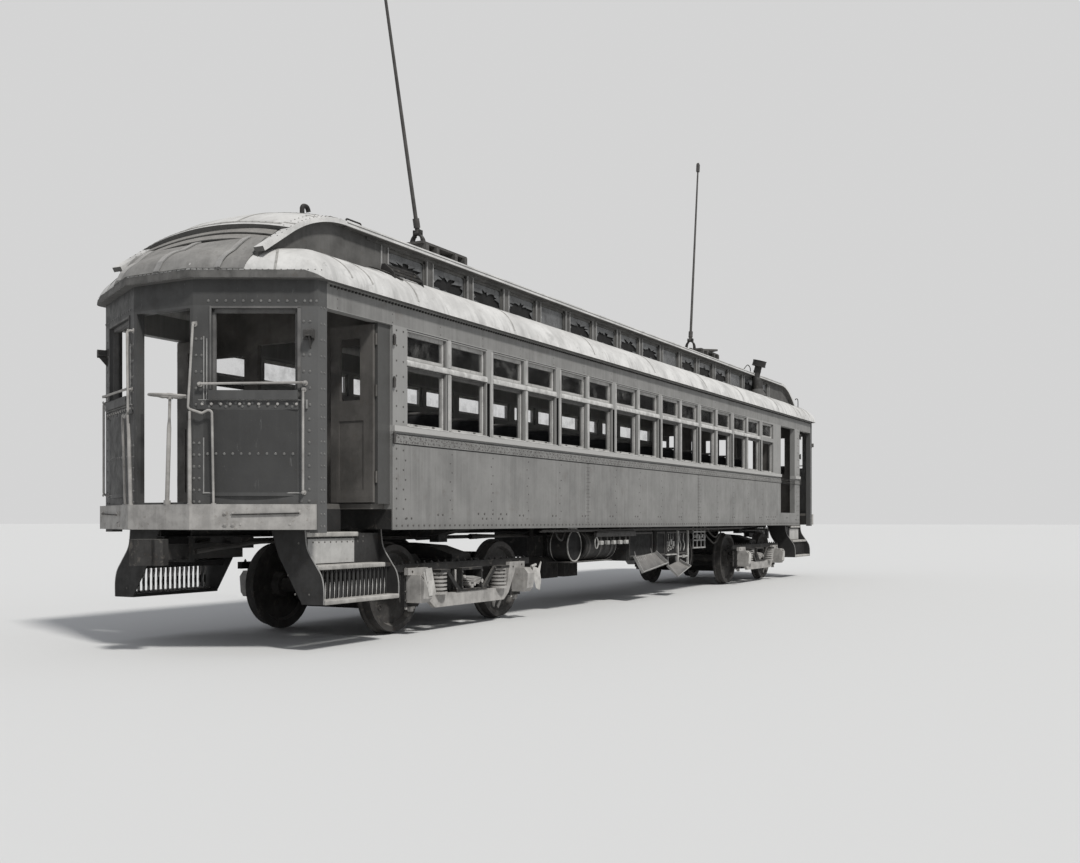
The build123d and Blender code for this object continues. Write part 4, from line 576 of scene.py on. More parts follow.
# ---------------------------------------------------------------- rivets of the ends
for end in ENDS:
    heads = Piece(f"end_rivets_{end}", "rivet_pale", "end_sheet")
    for side, s in SIDES.items():
        out = facet_normal(end, side)

        def head(run, z, proud=0.0, size=0.0135):
            heads.dome(facet(end, side, run, proud, z), out, size, size * 0.7)

        for run in steps(0.116, 0.96, 0.0762) + [0.063, 0.013]:
            head(run, 3.111)
        for k, run in enumerate(steps(0.209, 1.005, 0.0737)):
            head(run, 2.2145, 0.012)
            if k % 2 == 0:
                head(run + 0.015, 2.181, 0.012)
        for z in steps(2.2, 2.93, 0.146):
            head(0.070, z)
            if z > 2.4:
                head(0.125, z)
        for z in steps(2.2, 2.92, 0.146):
            head(1.067, z)
            if 2.4 < z < 2.85:
                head(1.019, z)
        for z in steps(1.354, 2.074, 0.103):
            head(0.076, z)
        for z in steps(1.347, 1.862, 0.103):
            for run in (1.086, 1.038):
                head(run, z)
        head(0.146, 1.354)
        for run in steps(0.219, 0.964, 0.075):
            bulge = 0.026 * (1 - ((run - 0.5925) / 0.4235) ** 2)
            head(run, 1.768, bulge - 0.001)
        for z in steps(1.13, 2.2, 0.103) + steps(2.344, 3.059, 0.143):
            for x in (8.279, 8.235):
                heads.dome(turned(end, side, (x, HALF, z)), (0, s, 0), 0.0115, 0.008)
    heads.done()


# ---------------------------------------------------------------- mouldings and fittings of the ends
DASH_CAP = [(0.165, 2.262), (0.180, 2.252), (0.860, 2.252), (0.905, 2.272), (0.918, 2.300), (0.905, 2.318),
            (0.165, 2.318)]     # outline along the run of a slanting wall, and up
for end in ENDS:
    trim = Piece(f"dash_trim_{end}", "trim_pale", "end_sheet")
    stops = Piece(f"end_window_stops_{end}", "trim_dull", "end_sheet")
    fittings = Piece(f"buffer_fittings_{end}", "dark_iron", "dark_iron")
    heads = Piece(f"buffer_bolts_{end}", "dusty_steel", "dusty_steel")
    lamps = Piece(f"lamp_brackets_{end}", "bracket_iron", "dark_iron")
    caps = Piece(f"dash_caps_{end}", "cap_paint", "end_sheet")
    for side in SIDES:
        out = facet_normal(end, side)

        def at(run, proud, z):
            return facet(end, side, run, proud, z)

        def slab(piece, runs, outs, zs):
            corners = [at(runs[i], outs[j], zs[0]) for i, j in ((0, 0), (1, 0), (1, 1), (0, 1))]
            piece.prism(corners, (0, 0, zs[1] - zs[0]))

        trim.tube([at(0.125, 0.002, 1.4265), at(1.006, 0.002, 1.4265)], 0.0065, 8)
        trim.tube([at(1.0, 0.002, 1.42), at(1.0, 0.002, 1.912)], 0.006, 8)
        for runs, proud, zs in (((0.115, 1.045), 0.016, (2.2375, 2.2445)), ((0.088, 0.104), 0.020, (2.166, 2.244)),
                                ((0.992, 1.002), 0.012, (2.245, 2.80)), ((0.966, 0.976), 0.012, (2.245, 2.78))):
            slab(trim, runs, (-0.002, proud), zs)
        for runs, outs, zs in (((0.179, 0.205), (-0.075, -0.030), (2.324, 3.046)),
                               ((0.905, 0.932), (-0.075, -0.030), (2.324, 3.046)),
                               ((0.179, 0.932), (-0.075, -0.030), (3.012, 3.046)),
                               ((0.150, 0.179), (-0.002, 0.008), (2.324, 3.066)),
                               ((0.932, 0.948), (-0.002, 0.010), (2.324, 3.066)),
                               ((0.150, 0.948), (-0.002, 0.008), (3.046, 3.062))):
            slab(stops, runs, outs, zs)
        caps.prism([at(run, 0.001, z) for run, z in DASH_CAP], at(0, 0.011, 0) - at(0, 0.0, 0))
        for run in steps(0.185, 1.010, 0.0825):
            heads.dome(at(run, 0.020 if run < 0.98 else 0.012, 2.205), out, 0.0145, 0.012)
        face = 0.058                                            # how far the buffer stands out
        for run, z in ((0.80, 1.249), (0.80, 1.149), (0.73, 1.249), (0.73, 1.149), (0.15, 1.262)):
            heads.disc(at(run, face - 0.002, z), out, 0.021, 0.010, 6)
            heads.dome(at(run, face + 0.007, z), out, 0.013, 0.012)
        for run in (0.665, 0.235):
            heads.dome(at(run, face, 1.150), out, 0.012, 0.008)
        fittings.tube([at(0.735, face + 0.012, 1.236), at(0.15, face + 0.012, 1.249)], 0.0065, 8)
        for runs, outs, zs in (((0.028, 0.128), (-0.002, 0.010), (2.770, 2.862)),
                               ((0.060, 0.100), (0.0, 0.095), (2.790, 2.802)),
                               ((0.030, 0.042), (0.0, 0.090), (2.778, 2.858)),
                               ((0.030, 0.090), (0.078, 0.092), (2.790, 2.848)),
                               ((0.078, 0.090), (0.0, 0.090), (2.790, 2.850))):
            slab(lamps, runs, outs, zs)
        gusset = [at(0.058, 0.0, 2.79), at(0.058, 0.09, 2.79), at(0.058, 0.0, 2.69)]
        lamps.prism(gusset, at(0.070, 0, 0) - at(0.058, 0, 0))
    trim.done()
    stops.done(0.002)
    heads.done()
    fittings.done()
    lamps.done(0.002)
    caps.done(0.003)

# hinges and keepers left on the body's corner posts
keepers = Piece("doorway_keepers", "bracket_iron", "dark_iron")
for end, e in ENDS.items():
    edge = 7.196 if end == "rear" else 7.346
    for s in SIDES.values():
        pin = (e * (edge + 0.004), s * (HALF + 0.020))
        for z in (1.985, 2.52, 2.93):
            keepers.box((e * (edge - 0.018), e * (edge - 0.002)), off_side(s, -0.002, 0.026), (z - 0.045, z + 0.045))
            keepers.tube([(*pin, z - 0.055), (*pin, z + 0.055)], 0.011, 8)
            keepers.dome((e * (edge - 0.01), s * (HALF + 0.026), z + 0.022), (0, s, 0), 0.009, 0.006)
keepers.done(0.002)


# ---------------------------------------------------------------- rods, brake wheel and stanchions of the ends
def curve(points, count=8):
    """Smooth line through points, as more points."""
    points = [Vector(p) for p in points]
    line = []
    for i in range(len(points) - 1):
        a, b = points[i], points[i + 1]
        before = points[i - 1] if i else a * 2 - b
        after = points[i + 2] if i + 2 < len(points) else b * 2 - a
        for k in range(count):
            t = k / count
            line.append(0.5 * ((2 * a) + (b - before) * t + (2 * before - 5 * a + 4 * b - after) * t ** 2
                               + (3 * a - before - 3 * b + after) * t ** 3))
    return line + [points[-1]]


for end, e in ENDS.items():
    rods = Piece(f"stanchion_sleeves_{end}", "dusty_steel", "dusty_steel")
    feet = Piece(f"rail_flanges_{end}", "dusty_steel", "dusty_steel")
    for side in SIDES:
        top, foot = facet(end, side, 1.1085, 0.0525, 2.06), facet(end, side, 1.112, 0.034, 1.334)
        rods.tube([top, top.lerp(foot, 0.12), top.lerp(foot, 0.4), foot], 0.012, 12, [0.0125, 0.015, 0.0175, 0.0175])
        for run, z, radius in ((0.111, 2.390, 0.024), (1.030, 2.378, 0.024), (0.122, 2.332, 0.022),
                               (0.122, 1.430, 0.022), (1.078, 2.905, 0.024)):
            feet.disc(facet(end, side, run, 0, z), facet_normal(end, side), radius, 0.008, 14)
            feet.dome(facet(end, side, run, 0.05, z), facet_normal(end, side), 0.0155, 0.013, 10)
        for run in (0.905, 1.112):
            feet.disc(facet(end, side, run, 0.034, 1.327), (0, 0, 1), 0.023, 0.009, 14)
    rods.done()
    feet.done()

    wheel = Piece(f"brake_wheel_{end}", "dusty_steel", "dusty_steel")
    hub = Vector((e * 8.905, e * 0.142, 2.285))
    foot = Vector((e * 8.884, e * 0.085, 1.328))
    lean = (hub - foot).normalized()
    first = lean.orthogonal().normalized()
    second = lean.cross(first)
    wheel.tube(circle(hub, first, second, 0.178, 40, 1), 0.012, 10)
    for k in range(4):
        angle = pi / 4 + k * pi / 2
        way = first * cos(angle) + second * sin(angle)
        wheel.tube([hub + way * 0.02 - lean * 0.012, hub + way * 0.09 - lean * 0.016, hub + way * 0.174], 0.009, 8)
    wheel.tube([hub - lean * 0.03, hub + lean * 0.022], 0.027, 12)
    wheel.tube([foot, foot.lerp(hub, 0.70), foot.lerp(hub, 0.78), hub], 0.014, 12, [0.019, 0.019, 0.0125, 0.0125])
    wheel.tube([foot, foot + lean * 0.035], 0.030, 12)
    wheel.done()

# ---------------------------------------------------------------- steps
# outlines in Y and Z: a tread board from the outer face of its step, and the outer edge of the side plates
TREAD = [(0.006, -0.034), (0.012, -0.026), (0.012, 0.002), (0.004, 0.009), (-0.16, 0.009), (-0.16, -0.001),
         (-0.0005, -0.001), (-0.0005, -0.034)]
PLATE_EDGE = [(1.092, 1.10), (1.118, 0.93), (1.212, 0.785), (1.276, 0.69), (1.302, 0.58), (1.302, 0.436)]
for end, e in ENDS.items():
    boards = Piece(f"tread_boards_{end}", "tread_wood", "step_steel")
    edges = Piece(f"step_plate_edges_{end}", "trim_pale", "step_steel")
    bars = Piece(f"step_bars_{end}", "bar_paint", "step_steel")
    plates = Piece(f"riser_plates_{end}", "riser_paint", "step_steel")
    heads = Piece(f"riser_rivets_{end}", "rivet_dark", "step_steel")
    for s in SIDES.values():
        for outer, top, near, far in ((1.300, 0.465, 8.210, 7.078), (1.215, 0.773, 8.206, 7.190),
                                      (1.095, 1.070, 8.212, 7.460)):
            boards.prism([(e * near, s * (outer + y), top + z) for y, z in TREAD], (e * (far - near), 0, 0))
        line = curve([(0, y, z) for y, z in PLATE_EDGE], 5)
        for x in (7.072, 8.218):
            edges.tube([(e * (x + 0.004), s * p.y, p.z) for p in line], 0.0065, 6)
        for k in range(17):
            x = e * (7.645 + (k - 8) * 0.0646)
            y = s * 1.1805
            line = [(x, y, 0.742), (x - e * 0.006, y, 0.675), (x + e * 0.002, y + s * 0.003, 0.618),
                    (x + e * 0.012, y + s * 0.006, 0.565), (x + e * 0.006, y, 0.470)]
            left, right = ([Vector(p) + Vector((shift, 0, 0)) for p in line] for shift in (-0.011, 0.011))
            bars.sheet([left, right] if s < 0 else [right, left], 0.004)
        face = 1.069
        plates.box((e * 8.160, e * 7.478), (s * (face - 0.003), s * (face + 0.002)), (0.792, 1.018))
        for k in range(10):
            x = 8.087 - k * 0.0838
            for y, z in ((face + (0.002 if k < 8 else -0.003), 0.986), (face - 0.003, 1.032)):
                heads.dome((e * x, s * y, z), (0, s, 0), 0.0095, 0.006)
        for y, z in ((0.90, 0.69), (1.14, 0.52), (0.98, 0.52), (1.02, 0.98)):
            heads.dome((e * 8.226, s * y, z), (e, 0, 0), 0.011, 0.007)
    boards.done(0.003)
    edges.done()
    bars.done()
    plates.done(0.001)
    heads.done()

# ---------------------------------------------------------------- trucks
# lids that hang loose on the right of the rear truck: axle (-1 outer, 1 inner), points from it along X, out and up
LOOSE_LIDS = [
    (1, ((0.10, 1.205, 0.640), (0.235, 1.215, 0.600), (0.262, 1.225, 0.455), (0.215, 1.230, 0.345),
         (0.150, 1.225, 0.370), (0.095, 1.212, 0.520)), (0.012, -0.008, 0)),
    (1, ((0.185, 1.205, 0.545), (0.285, 1.212, 0.690), (0.300, 1.212, 0.682), (0.235, 1.214, 0.500)), (0.0, -0.010, 0)),
    (-1, ((-0.060, 1.230, 0.690), (0.040, 1.240, 0.700), (0.135, 1.235, 0.420), (0.010, 1.225, 0.405)),
     (0.0, -0.010, 0)),
]
LID_HINGES = [
    (1, ((0.075, 1.20, 0.635), (0.175, 1.21, 0.655)), 0.016, 10),
    (-1, ((-0.08, 1.228, 0.66), (-0.055, 1.235, 0.56), (-0.02, 1.230, 0.50)), 0.012, 8),
]
for end, e in ENDS.items():
    centre = e * TRUCK_X
    body = f"truck_{end}"
    bolts = Piece(f"truck_bolts_{end}", "bracket_iron", "under_paint", body)
    leaves = Piece(f"bolster_springs_{end}", "dusty_steel", "dusty_steel", body)
    gear = Piece(f"truck_rods_{end}", "dusty_steel", "dusty_steel", body)
    lids = Piece(f"box_lids_{end}", "lid_paint", "dusty_steel", body)
    for side, s in SIDES.items():
        for u in steps(-1.36, 1.36, 0.136):
            for z, radius, depth, sides in ((0.735, 0.016, 0.015, 6), (0.749, 0.008, 0.014, 8)):
                bolts.disc((centre + u, s * 0.992, z), (0, 0, 1), radius, depth, sides)
        for run in (-1, 1):
            axle = run * HALF_WHEELBASE
            for jaw in (-0.104, 0.104):
                for z in (0.36, 0.45, 0.62, 0.69):
                    bolts.disc((centre + axle + jaw, s * 1.020, z), (0, s, 0), 0.015, 0.012, 6)
            for u, z, radius, depth in ((0.33, 0.44, 0.014, 0.011), (0.50, 0.64, 0.014, 0.011),
                                        (0.56, 0.645, 0.014, 0.011), (0.208, 0.45, 0.012, 0.010),
                                        (0.208, 0.62, 0.012, 0.010)):
                bolts.disc((centre + run * u, s * 1.090, z), (0, s, 0), radius, depth, 6)
            for u, z in ((0.95, 0.64), (1.16, 0.66)):
                bolts.dome((centre + run * u, s * 1.077, z), (0, s, 0), 0.014, 0.010)
        for k in range(5):
            start = (centre - 0.150 + 0.016 * k, s * 1.050, 0.572 - 0.016 * k + 0.006 * (k % 2))
            stop = (centre + 0.205 - 0.014 * k, s * 1.050, 0.536 - 0.015 * k)
            middle = (centre + 0.03, s * 1.050, 0.562 - 0.0155 * k)
            for a, b in ((start, middle), (middle, stop)):
                leaves.bar(a, b, 0.0115, 0.076)
        for u, z, r in ((-0.045, 0.482, 0.021), (0.055, 0.476, 0.021), (0.215, 0.505, 0.024), (-0.155, 0.566, 0.018)):
            leaves.tube([(centre + u, s * 1.008, z), (centre + u, s * 1.092, z)], r, 12)
        leaves.box((centre - 0.020, centre + 0.030), (s * 1.010, s * 1.090), (0.437, 0.480))
        gear.tube([(centre - 0.297, s * 1.052, 0.415), (centre - 0.297, s * 1.052, 0.650)], 0.0125, 10)
        gear.tube([(centre - 0.30, s * 1.052, 0.432), (centre - 0.21, s * 1.052, 0.436)], 0.009, 8)
        for run in (-1, 1):
            axle = centre + run * HALF_WHEELBASE
            gear.box((axle - 0.026, axle + 0.026), (s * 0.990, s * 1.032), (0.245, 0.296))
            for jaw in (-0.07, 0.07):
                gear.disc((axle + jaw, s * 1.0, 0.296), (0, 0, -1), 0.017, 0.028, 6)
            if (end, side) != ("rear", "right"):                # that side has LOOSE_LIDS
                outline = ((-0.072, 1.2265, 0.392), (0.072, 1.2265, 0.392), (0.072, 1.2405, 0.548),
                           (0.05, 1.2385, 0.585), (-0.05, 1.2385, 0.585), (-0.072, 1.2405, 0.548))
                lids.prism([(axle + u, s * y, z) for u, y, z in outline], (0, s * 0.006, 0))
                lids.tube([(axle - 0.045, s * 1.222, 0.602), (axle + 0.045, s * 1.222, 0.602)], 0.013, 10)
        gear.bar((centre + 1.109, s * 0.86, 0.345), (centre + 0.955, s * 0.86, 0.150), 0.045, 0.012, (1, 0, 0.4))
    if end == "rear":
        for axle, outline, push in LOOSE_LIDS:
            x = centre + axle * HALF_WHEELBASE
            lids.prism([(x + u, -y, z) for u, y, z in outline], push)
        for axle, line, radius, sides in LID_HINGES:
            x = centre + axle * HALF_WHEELBASE
            lids.tube([(x + u, -y, z) for u, y, z in line], radius, sides)
        gear.prism([(centre + u, -0.90, z) for u, z in ((0.735, 0.255), (0.82, 0.255), (0.778, 0.165))], (0, -0.02, 0))
    bolts.done(0.0012, 1)
    leaves.done()
    gear.done(0.0015, 1)
    lids.done(0.002)

    for place, run in (("outer", e), ("inner", -e)):
        axle = centre + run * HALF_WHEELBASE
        bosses = Piece(f"wheel_bosses_{end}_{place}", "wheel_steel", "wheel_steel", f"wheels_{end}_{place}")
        for s in (-1, 1):
            def at(angle, radius, y):
                return axle + radius * cos(angle), s * y, AXLE_Z + radius * sin(angle)

            for k in range(6):
                angle = k * pi / 3 + 0.3
                bosses.disc(at(angle, 0.105, 0.829), (0, s, 0), 0.013, 0.010, 6)
            for k in range(2):
                angle = k * pi + 0.8
                bosses.disc(at(angle, 0.27, 0.752), (0, s, 0), 0.032, 0.012, 16, 0.022)
        bosses.done()


# ---------------------------------------------------------------- laying things on a surface
SKINS = {}                      # ray-cast trees of CAD nodes, made on first use


def cast(node, start, way):
    """Where a ray meets a CAD object, and the normal there, turned against the ray."""
    if node not in SKINS:
        obj = frame["nodes"][node]
        verts = [obj.matrix_world @ v.co for v in obj.data.vertices]
        SKINS[node] = BVHTree.FromPolygons(verts, [tuple(p.vertices) for p in obj.data.polygons])
    way = Vector(way).normalized()
    spot, normal, _, _ = SKINS[node].ray_cast(Vector(start), way)
    if spot is None:
        return None, None
    return spot, (normal if normal.dot(way) < 0 else -normal)


def lay(piece, node, starts, way, half, proud):
    """Ribbon on a surface under a row of starting points; way is a direction or gives one for a point."""
    hits = [cast(node, p, way(p) if callable(way) else way) for p in starts]
    hits = [h for h in hits if h[0] is not None]
    if len(hits) < 2:
        return
    rows = [[], []]
    for i, (spot, normal) in enumerate(hits):
        along = hits[min(i + 1, len(hits) - 1)][0] - hits[max(i - 1, 0)][0]
        aside = along.cross(normal).normalized() * half
        rows[0].append(spot + aside + normal * proud)
        rows[1].append(spot - aside + normal * proud)
    piece.sheet(rows, proud + 0.002)


def spread(low, high, count):
    """A number of values from low to high, both included."""
    return [low + (high - low) * k / (count - 1) for k in range(count)]


def pins(piece, node, starts, way, radius, height):
    """Small heads on a surface under a row of starting points."""
    for p in starts:
        spot, normal = cast(node, p, way)
        if spot is not None:
            piece.dome(spot, normal, radius, height, 6)


# ---------------------------------------------------------------- roof
HOOD_X, HOOD_FOOT, HOOD_LIP = 7.45, 3.372, 3.3005    # centre of a hood's round, foot of its slope, edge of its lip
CROWN = 3.522                   # radius of the crowned deck
DECK_TOP = 4.2                  # upper deck on the centre line
ARC_X, ARC_Z, ARC_RADIUS = 7.4, 2.58, 1.495     # bend of the upper deck's ends
RIM_TURN = radians(33.5)        # slope of the rims that fall from it
FROM_ABOVE = (0, 0, -1)


def crowned(z, y):
    """Height at y on a crown that lies at z on the centre line."""
    return z - y * y / (2 * CROWN)


for end, e in ENDS.items():
    hood = f"hood_{end}"

    def around(angle, z):
        """A point well outside the hood, at an angle about its centre."""
        return Vector((e * (HOOD_X + 3.0 * cos(angle)), 3.0 * sin(angle), z))

    def inwards(angle):
        return -cos(angle) * e, -sin(angle), 0

    flash = Piece(f"hood_flashing_{end}", "flashing", "roof_canvas")
    rows = []
    for level in (3.368, 3.352, 3.332, 3.312, HOOD_LIP):
        row = []
        for k in range(97):
            angle = radians(-58 + 116 * k / 96)
            z = HOOD_LIP + (level - HOOD_LIP) * min(1.0, (0.15 + min(k, 96 - k)) / 5)
            spot, normal = cast(hood, around(angle, z), inwards(angle))
            wave = 0.003 * sin(k * 1.7) * sin(k * 0.37 + z * 9) + (0.004 if z > 3.36 else 0.0)
            row.append(spot + normal * (0.005 + wave))
        rows.append(row if e < 0 else row[::-1])
    flash.sheet(rows, 0.010)
    flash.done()

    nails = Piece(f"roof_nails_{end}", "nail_iron", "dark_iron")
    seams = Piece(f"roof_seams_{end}", "seam_canvas", "roof_canvas")
    for k in range(58):
        angle = radians(-57 + 114 * k / 57)
        pins(nails, hood, [around(angle, 3.374)], inwards(angle), 0.0065, 0.004)
    for s in (-1, 1):
        for degrees, head in ((24, 3.60), (43, 3.655)):
            angle = radians(degrees) * s
            starts = [around(angle + 0.05 * s * (z - HOOD_FOOT), z) for z in spread(HOOD_FOOT, head, 12)]
            lay(seams, hood, starts, inwards(angle), 0.011, 0.004)
        for x in (7.62, 7.93):
            starts = [Vector((e * (x + 0.05 * sin(y * 7)), s * y, 4.6)) for y in spread(0.90, 1.385, 14)]
            lay(seams, hood, starts, FROM_ABOVE, 0.012, 0.004)

    # louvre boards and blank panel between the rims
    slats = Piece(f"vent_slats_{end}", "slat_paint", "roof_boards")
    ys = spread(-0.80, 0.80, 25)
    for section in (((8.252, 3.905), (8.322, 3.850)), ((8.330, 3.832), (8.398, 3.776))):
        rows = [[(e * x, y, crowned(z, y)) for y in ys] for x, z in section]
        slats.sheet(rows if e < 0 else rows[::-1], 0.018)
    slats.done(0.004)
    panel = Piece(f"vent_panel_{end}", "panel_paint", "roof_boards")
    battens = Piece(f"vent_battens_{end}", "trim_pale", "roof_boards")
    rows = []
    for j in range(11):
        share, row = j / 10, []
        for y in ys:
            foot, _ = cast(hood, (e * 9.6, y, 3.375), (-e, 0, 0))
            x = 8.405 + (abs(foot.x) - 8.405) * share
            below, _ = cast(hood, (e * x, y, 4.6), FROM_ABOVE)
            top = 3.750 - 0.35 * y * y / (2 * CROWN)
            height = max(below.z + 0.009 if below else 0.0, top - (top - HOOD_FOOT) * share ** 1.25)
            row.append(Vector((e * (x + 0.006 * share), y, height)))
        rows.append(row)
    panel.sheet(rows if e < 0 else rows[::-1], 0.012)
    panel.done()
    for y in (-0.60, -0.02, 0.60):
        column = min(range(len(ys)), key=lambda j: abs(ys[j] - y))
        line = [row[column] + Vector((e * 0.006, 0, 0.006)) for row in rows]
        for a, b in zip(line, line[1:]):
            battens.bar(a, b + (b - a).normalized() * 0.004, 0.014, 0.062, Vector((e * 0.5, 0, 1)))
    battens.done(0.002)

    # nailed laps of the upper deck and of its rims
    def over(degrees, y):
        """A point 0.3 m outside the bend of the upper deck."""
        angle, reach = radians(degrees), ARC_RADIUS + 0.30
        return Vector((e * (ARC_X + reach * sin(angle)), y, ARC_Z + reach * cos(angle)))

    def square(degrees):
        """The way from there, square to the deck."""
        return -e * sin(radians(degrees)), 0, -cos(radians(degrees))

    for s in (-1, 1):
        for y in (0.915, 0.838):
            for angle in spread(1, 32.5, 15):
                pins(nails, "roof_upper", [over(angle, s * y)], square(angle), 0.0085, 0.005)
            for run in (0.045, 0.12, 0.195):
                spot = Vector((e * (8.2248 + run * cos(RIM_TURN)), s * y, 4.0765 - run * sin(RIM_TURN)))
                pins(nails, "roof_upper", [spot], FROM_ABOVE, 0.0085, 0.005)
        for angle in (6.0, 17.5, 30.0):
            starts = [over(angle, s * y) for y in spread(0.80, 0.925, 5)]
            lay(seams, "roof_upper", starts, square(angle), 0.009, 0.004)
    for angle in (11.0, 31.5):
        lay(seams, "roof_upper", [over(angle, y) for y in spread(-0.80, 0.80, 33)], square(angle), 0.016, 0.004)
        starts = [over(angle, y) for y in spread(-0.78, 0.78, 22)]
        pins(nails, "roof_upper", starts, square(angle), 0.0085, 0.008)
    for y in (-0.30, 0.34):
        lay(seams, "roof_upper", [over(angle, y) for angle in spread(11, 31.5, 9)],
            lambda p: (-(p.x - e * ARC_X), 0, -(p.z - ARC_Z)), 0.014, 0.004)
    nails.done()
    seams.done()

    boards = Piece(f"roof_walk_{end}", "roof_walk", "roof_boards")
    s = -1 if end == "rear" else 1
    for k in range(4):
        y = s * (0.475 + 0.052 * k)
        z = crowned(DECK_TOP, y)
        boards.prism([(e * 6.64, y - 0.021, z + 0.022), (e * 7.31, y - 0.021, z + 0.022),
                      (e * 7.31, y + 0.021, z + 0.020), (e * 6.64, y + 0.021, z + 0.020)], (0, 0, 0.016))
    for x in (6.70, 6.95, 7.25):
        foot = [(u, s * y) for u, y in ((-0.02, 0.44), (0.02, 0.44), (0.02, 0.655), (-0.02, 0.655))]
        boards.prism([(e * (x + u), y, crowned(DECK_TOP, y) - 0.004) for u, y in foot], (0, 0, 0.027))
    boards.done(0.002)

PANE_Z = (3.705, 3.985)         # lights of the clerestory
for side, s in SIDES.items():
    deck = f"roof_deck_{side}"
    laps = Piece(f"deck_laps_{side}", "seam_canvas", "roof_canvas")
    for k, x in enumerate((-6.86, -4.9, -2.75, -0.7, 1.5, 3.4, 5.6, 6.95)):
        starts = [Vector((x + 0.025 * sin(y * 11 + k), s * y, 4.6)) for y in spread(0.862, 1.385, 16)]
        lay(laps, deck, starts, FROM_ABOVE, 0.013, 0.004)
    laps.done()
    patch = Piece(f"deck_patch_{side}", "nail_iron", "dark_iron")
    x0 = -7.17 if side == "right" else 6.93
    rows = []
    for y, wide in ((0.99, 0.02), (1.04, 0.0), (1.10, 0.015), (1.15, 0.05)):
        row = []
        for u in spread(0, 1, 6):
            spot, normal = cast(deck, (x0 + wide + (0.24 - wide) * u, s * (y + 0.10 * u), 4.6), FROM_ABOVE)
            row.append(spot + normal * 0.007)
        rows.append(row)
    patch.sheet(rows if s < 0 else rows[::-1], 0.009)
    patch.done()

    # drip edge and bead of the upper deck
    drip = Piece(f"drip_edge_{side}", "roof_canvas", "roof_canvas")
    drip.box((-ARC_X, ARC_X), (s * 0.9285, s * 0.9375), (4.060, 4.0785))
    drip.done(0.002)
    bead = Piece(f"eave_bead_{side}", "clerestory_wood", "clerestory_wood")
    bead.box((-ARC_X, ARC_X), (s * 0.862, s * 0.9325), (4.0195, 4.0300))
    bead.box((-7.0, 7.0), (s * 0.8485, s * 0.866), (3.990, 4.0195))
    bead.done(0.002)

    # clerestory: battens beside the posts, frames, near-black sheets behind the lights as painted shade, and broken
    # panes
    battens = Piece(f"clerestory_battens_{side}", "trim_pale", "clerestory_wood")
    frames = Piece(f"clerestory_frames_{side}", "clerestory_sash", "clerestory_wood")
    panes = Piece(f"clerestory_panes_{side}", "dirty_pane", "clear_glass")
    inner_shade = Piece(f"clerestory_inner_shade_{side}", "painted_shade_black", "clerestory_wood")
    for k in range(17):
        x = -8 * BAY + k * BAY
        if -7 < x < 7:
            for shift in (-0.058, 0.058):
                battens.box((x + shift - 0.009, x + shift + 0.009), (s * 0.849, s * 0.864), (3.672, 3.992))
            battens.box((x - 0.050, x - 0.043), (s * 0.849, s * 0.857), (3.672, 3.985))
            battens.disc((x + 0.074, s * 0.842, 3.80), (0, s, 0), 0.014, 0.018, 10)
    for k in range(16):
        x = (k - 7.5) * BAY
        for low, high, heights in ((-0.345, -0.315, PANE_Z), (0.315, 0.345, PANE_Z), (-0.345, 0.345, (3.955, 3.985)),
                                   (-0.345, 0.345, (3.705, 3.732))):
            frames.box((x + low, x + high), (s * 0.812, s * 0.838), heights)
        # near-black sheet behind the lights: painted shade for the unlit inside
        inner_shade.box((x - 0.345, x + 0.345), (s * 0.8055, s * 0.8085), PANE_Z)
        outer, inner = [], []
        seed = k * 2.3 + (1.1 if s > 0 else 0.0)
        whole = k in (4, 9, 13) if s < 0 else k in (2, 6, 7, 12)
        n = 28
        for j in range(n):
            angle = 2 * pi * j / n
            c, d = cos(angle), sin(angle)
            reach = 1 / max(abs(c), abs(d))
            outer.append((x + 0.318 * c * reach, s * 0.826, 3.8435 + 0.114 * d * reach))
            ragged = 0.16 * sin(5 * angle + seed) + 0.11 * sin(11 * angle + 2.1 * seed) + (0.09 if j % 2 else -0.03)
            share = (0.42 if d > 0.3 else 0.80 if d > -0.35 else 0.97) + ragged
            share = min(0.97, max(0.18, share))
            inner.append((x + 0.318 * c * reach * share, s * 0.826, 3.836 + 0.105 * d * reach * share))
        if whole:
            panes.prism(outer, (0, -s * 0.003, 0))
        else:
            front = outer + inner
            back = [(a, y - s * 0.003, z) for a, y, z in front]
            faces = []
            for j in range(n):
                i = (j + 1) % n
                faces += [(j, i, n + i, n + j), (2 * n + j, 3 * n + j, 3 * n + i, 2 * n + i),
                          (n + j, n + i, 3 * n + i, 3 * n + j)]
            panes.add(front + back, faces)
    battens.done(0.0015, 1)
    frames.done(0.002, 1)
    panes.done()
    inner_shade.done()


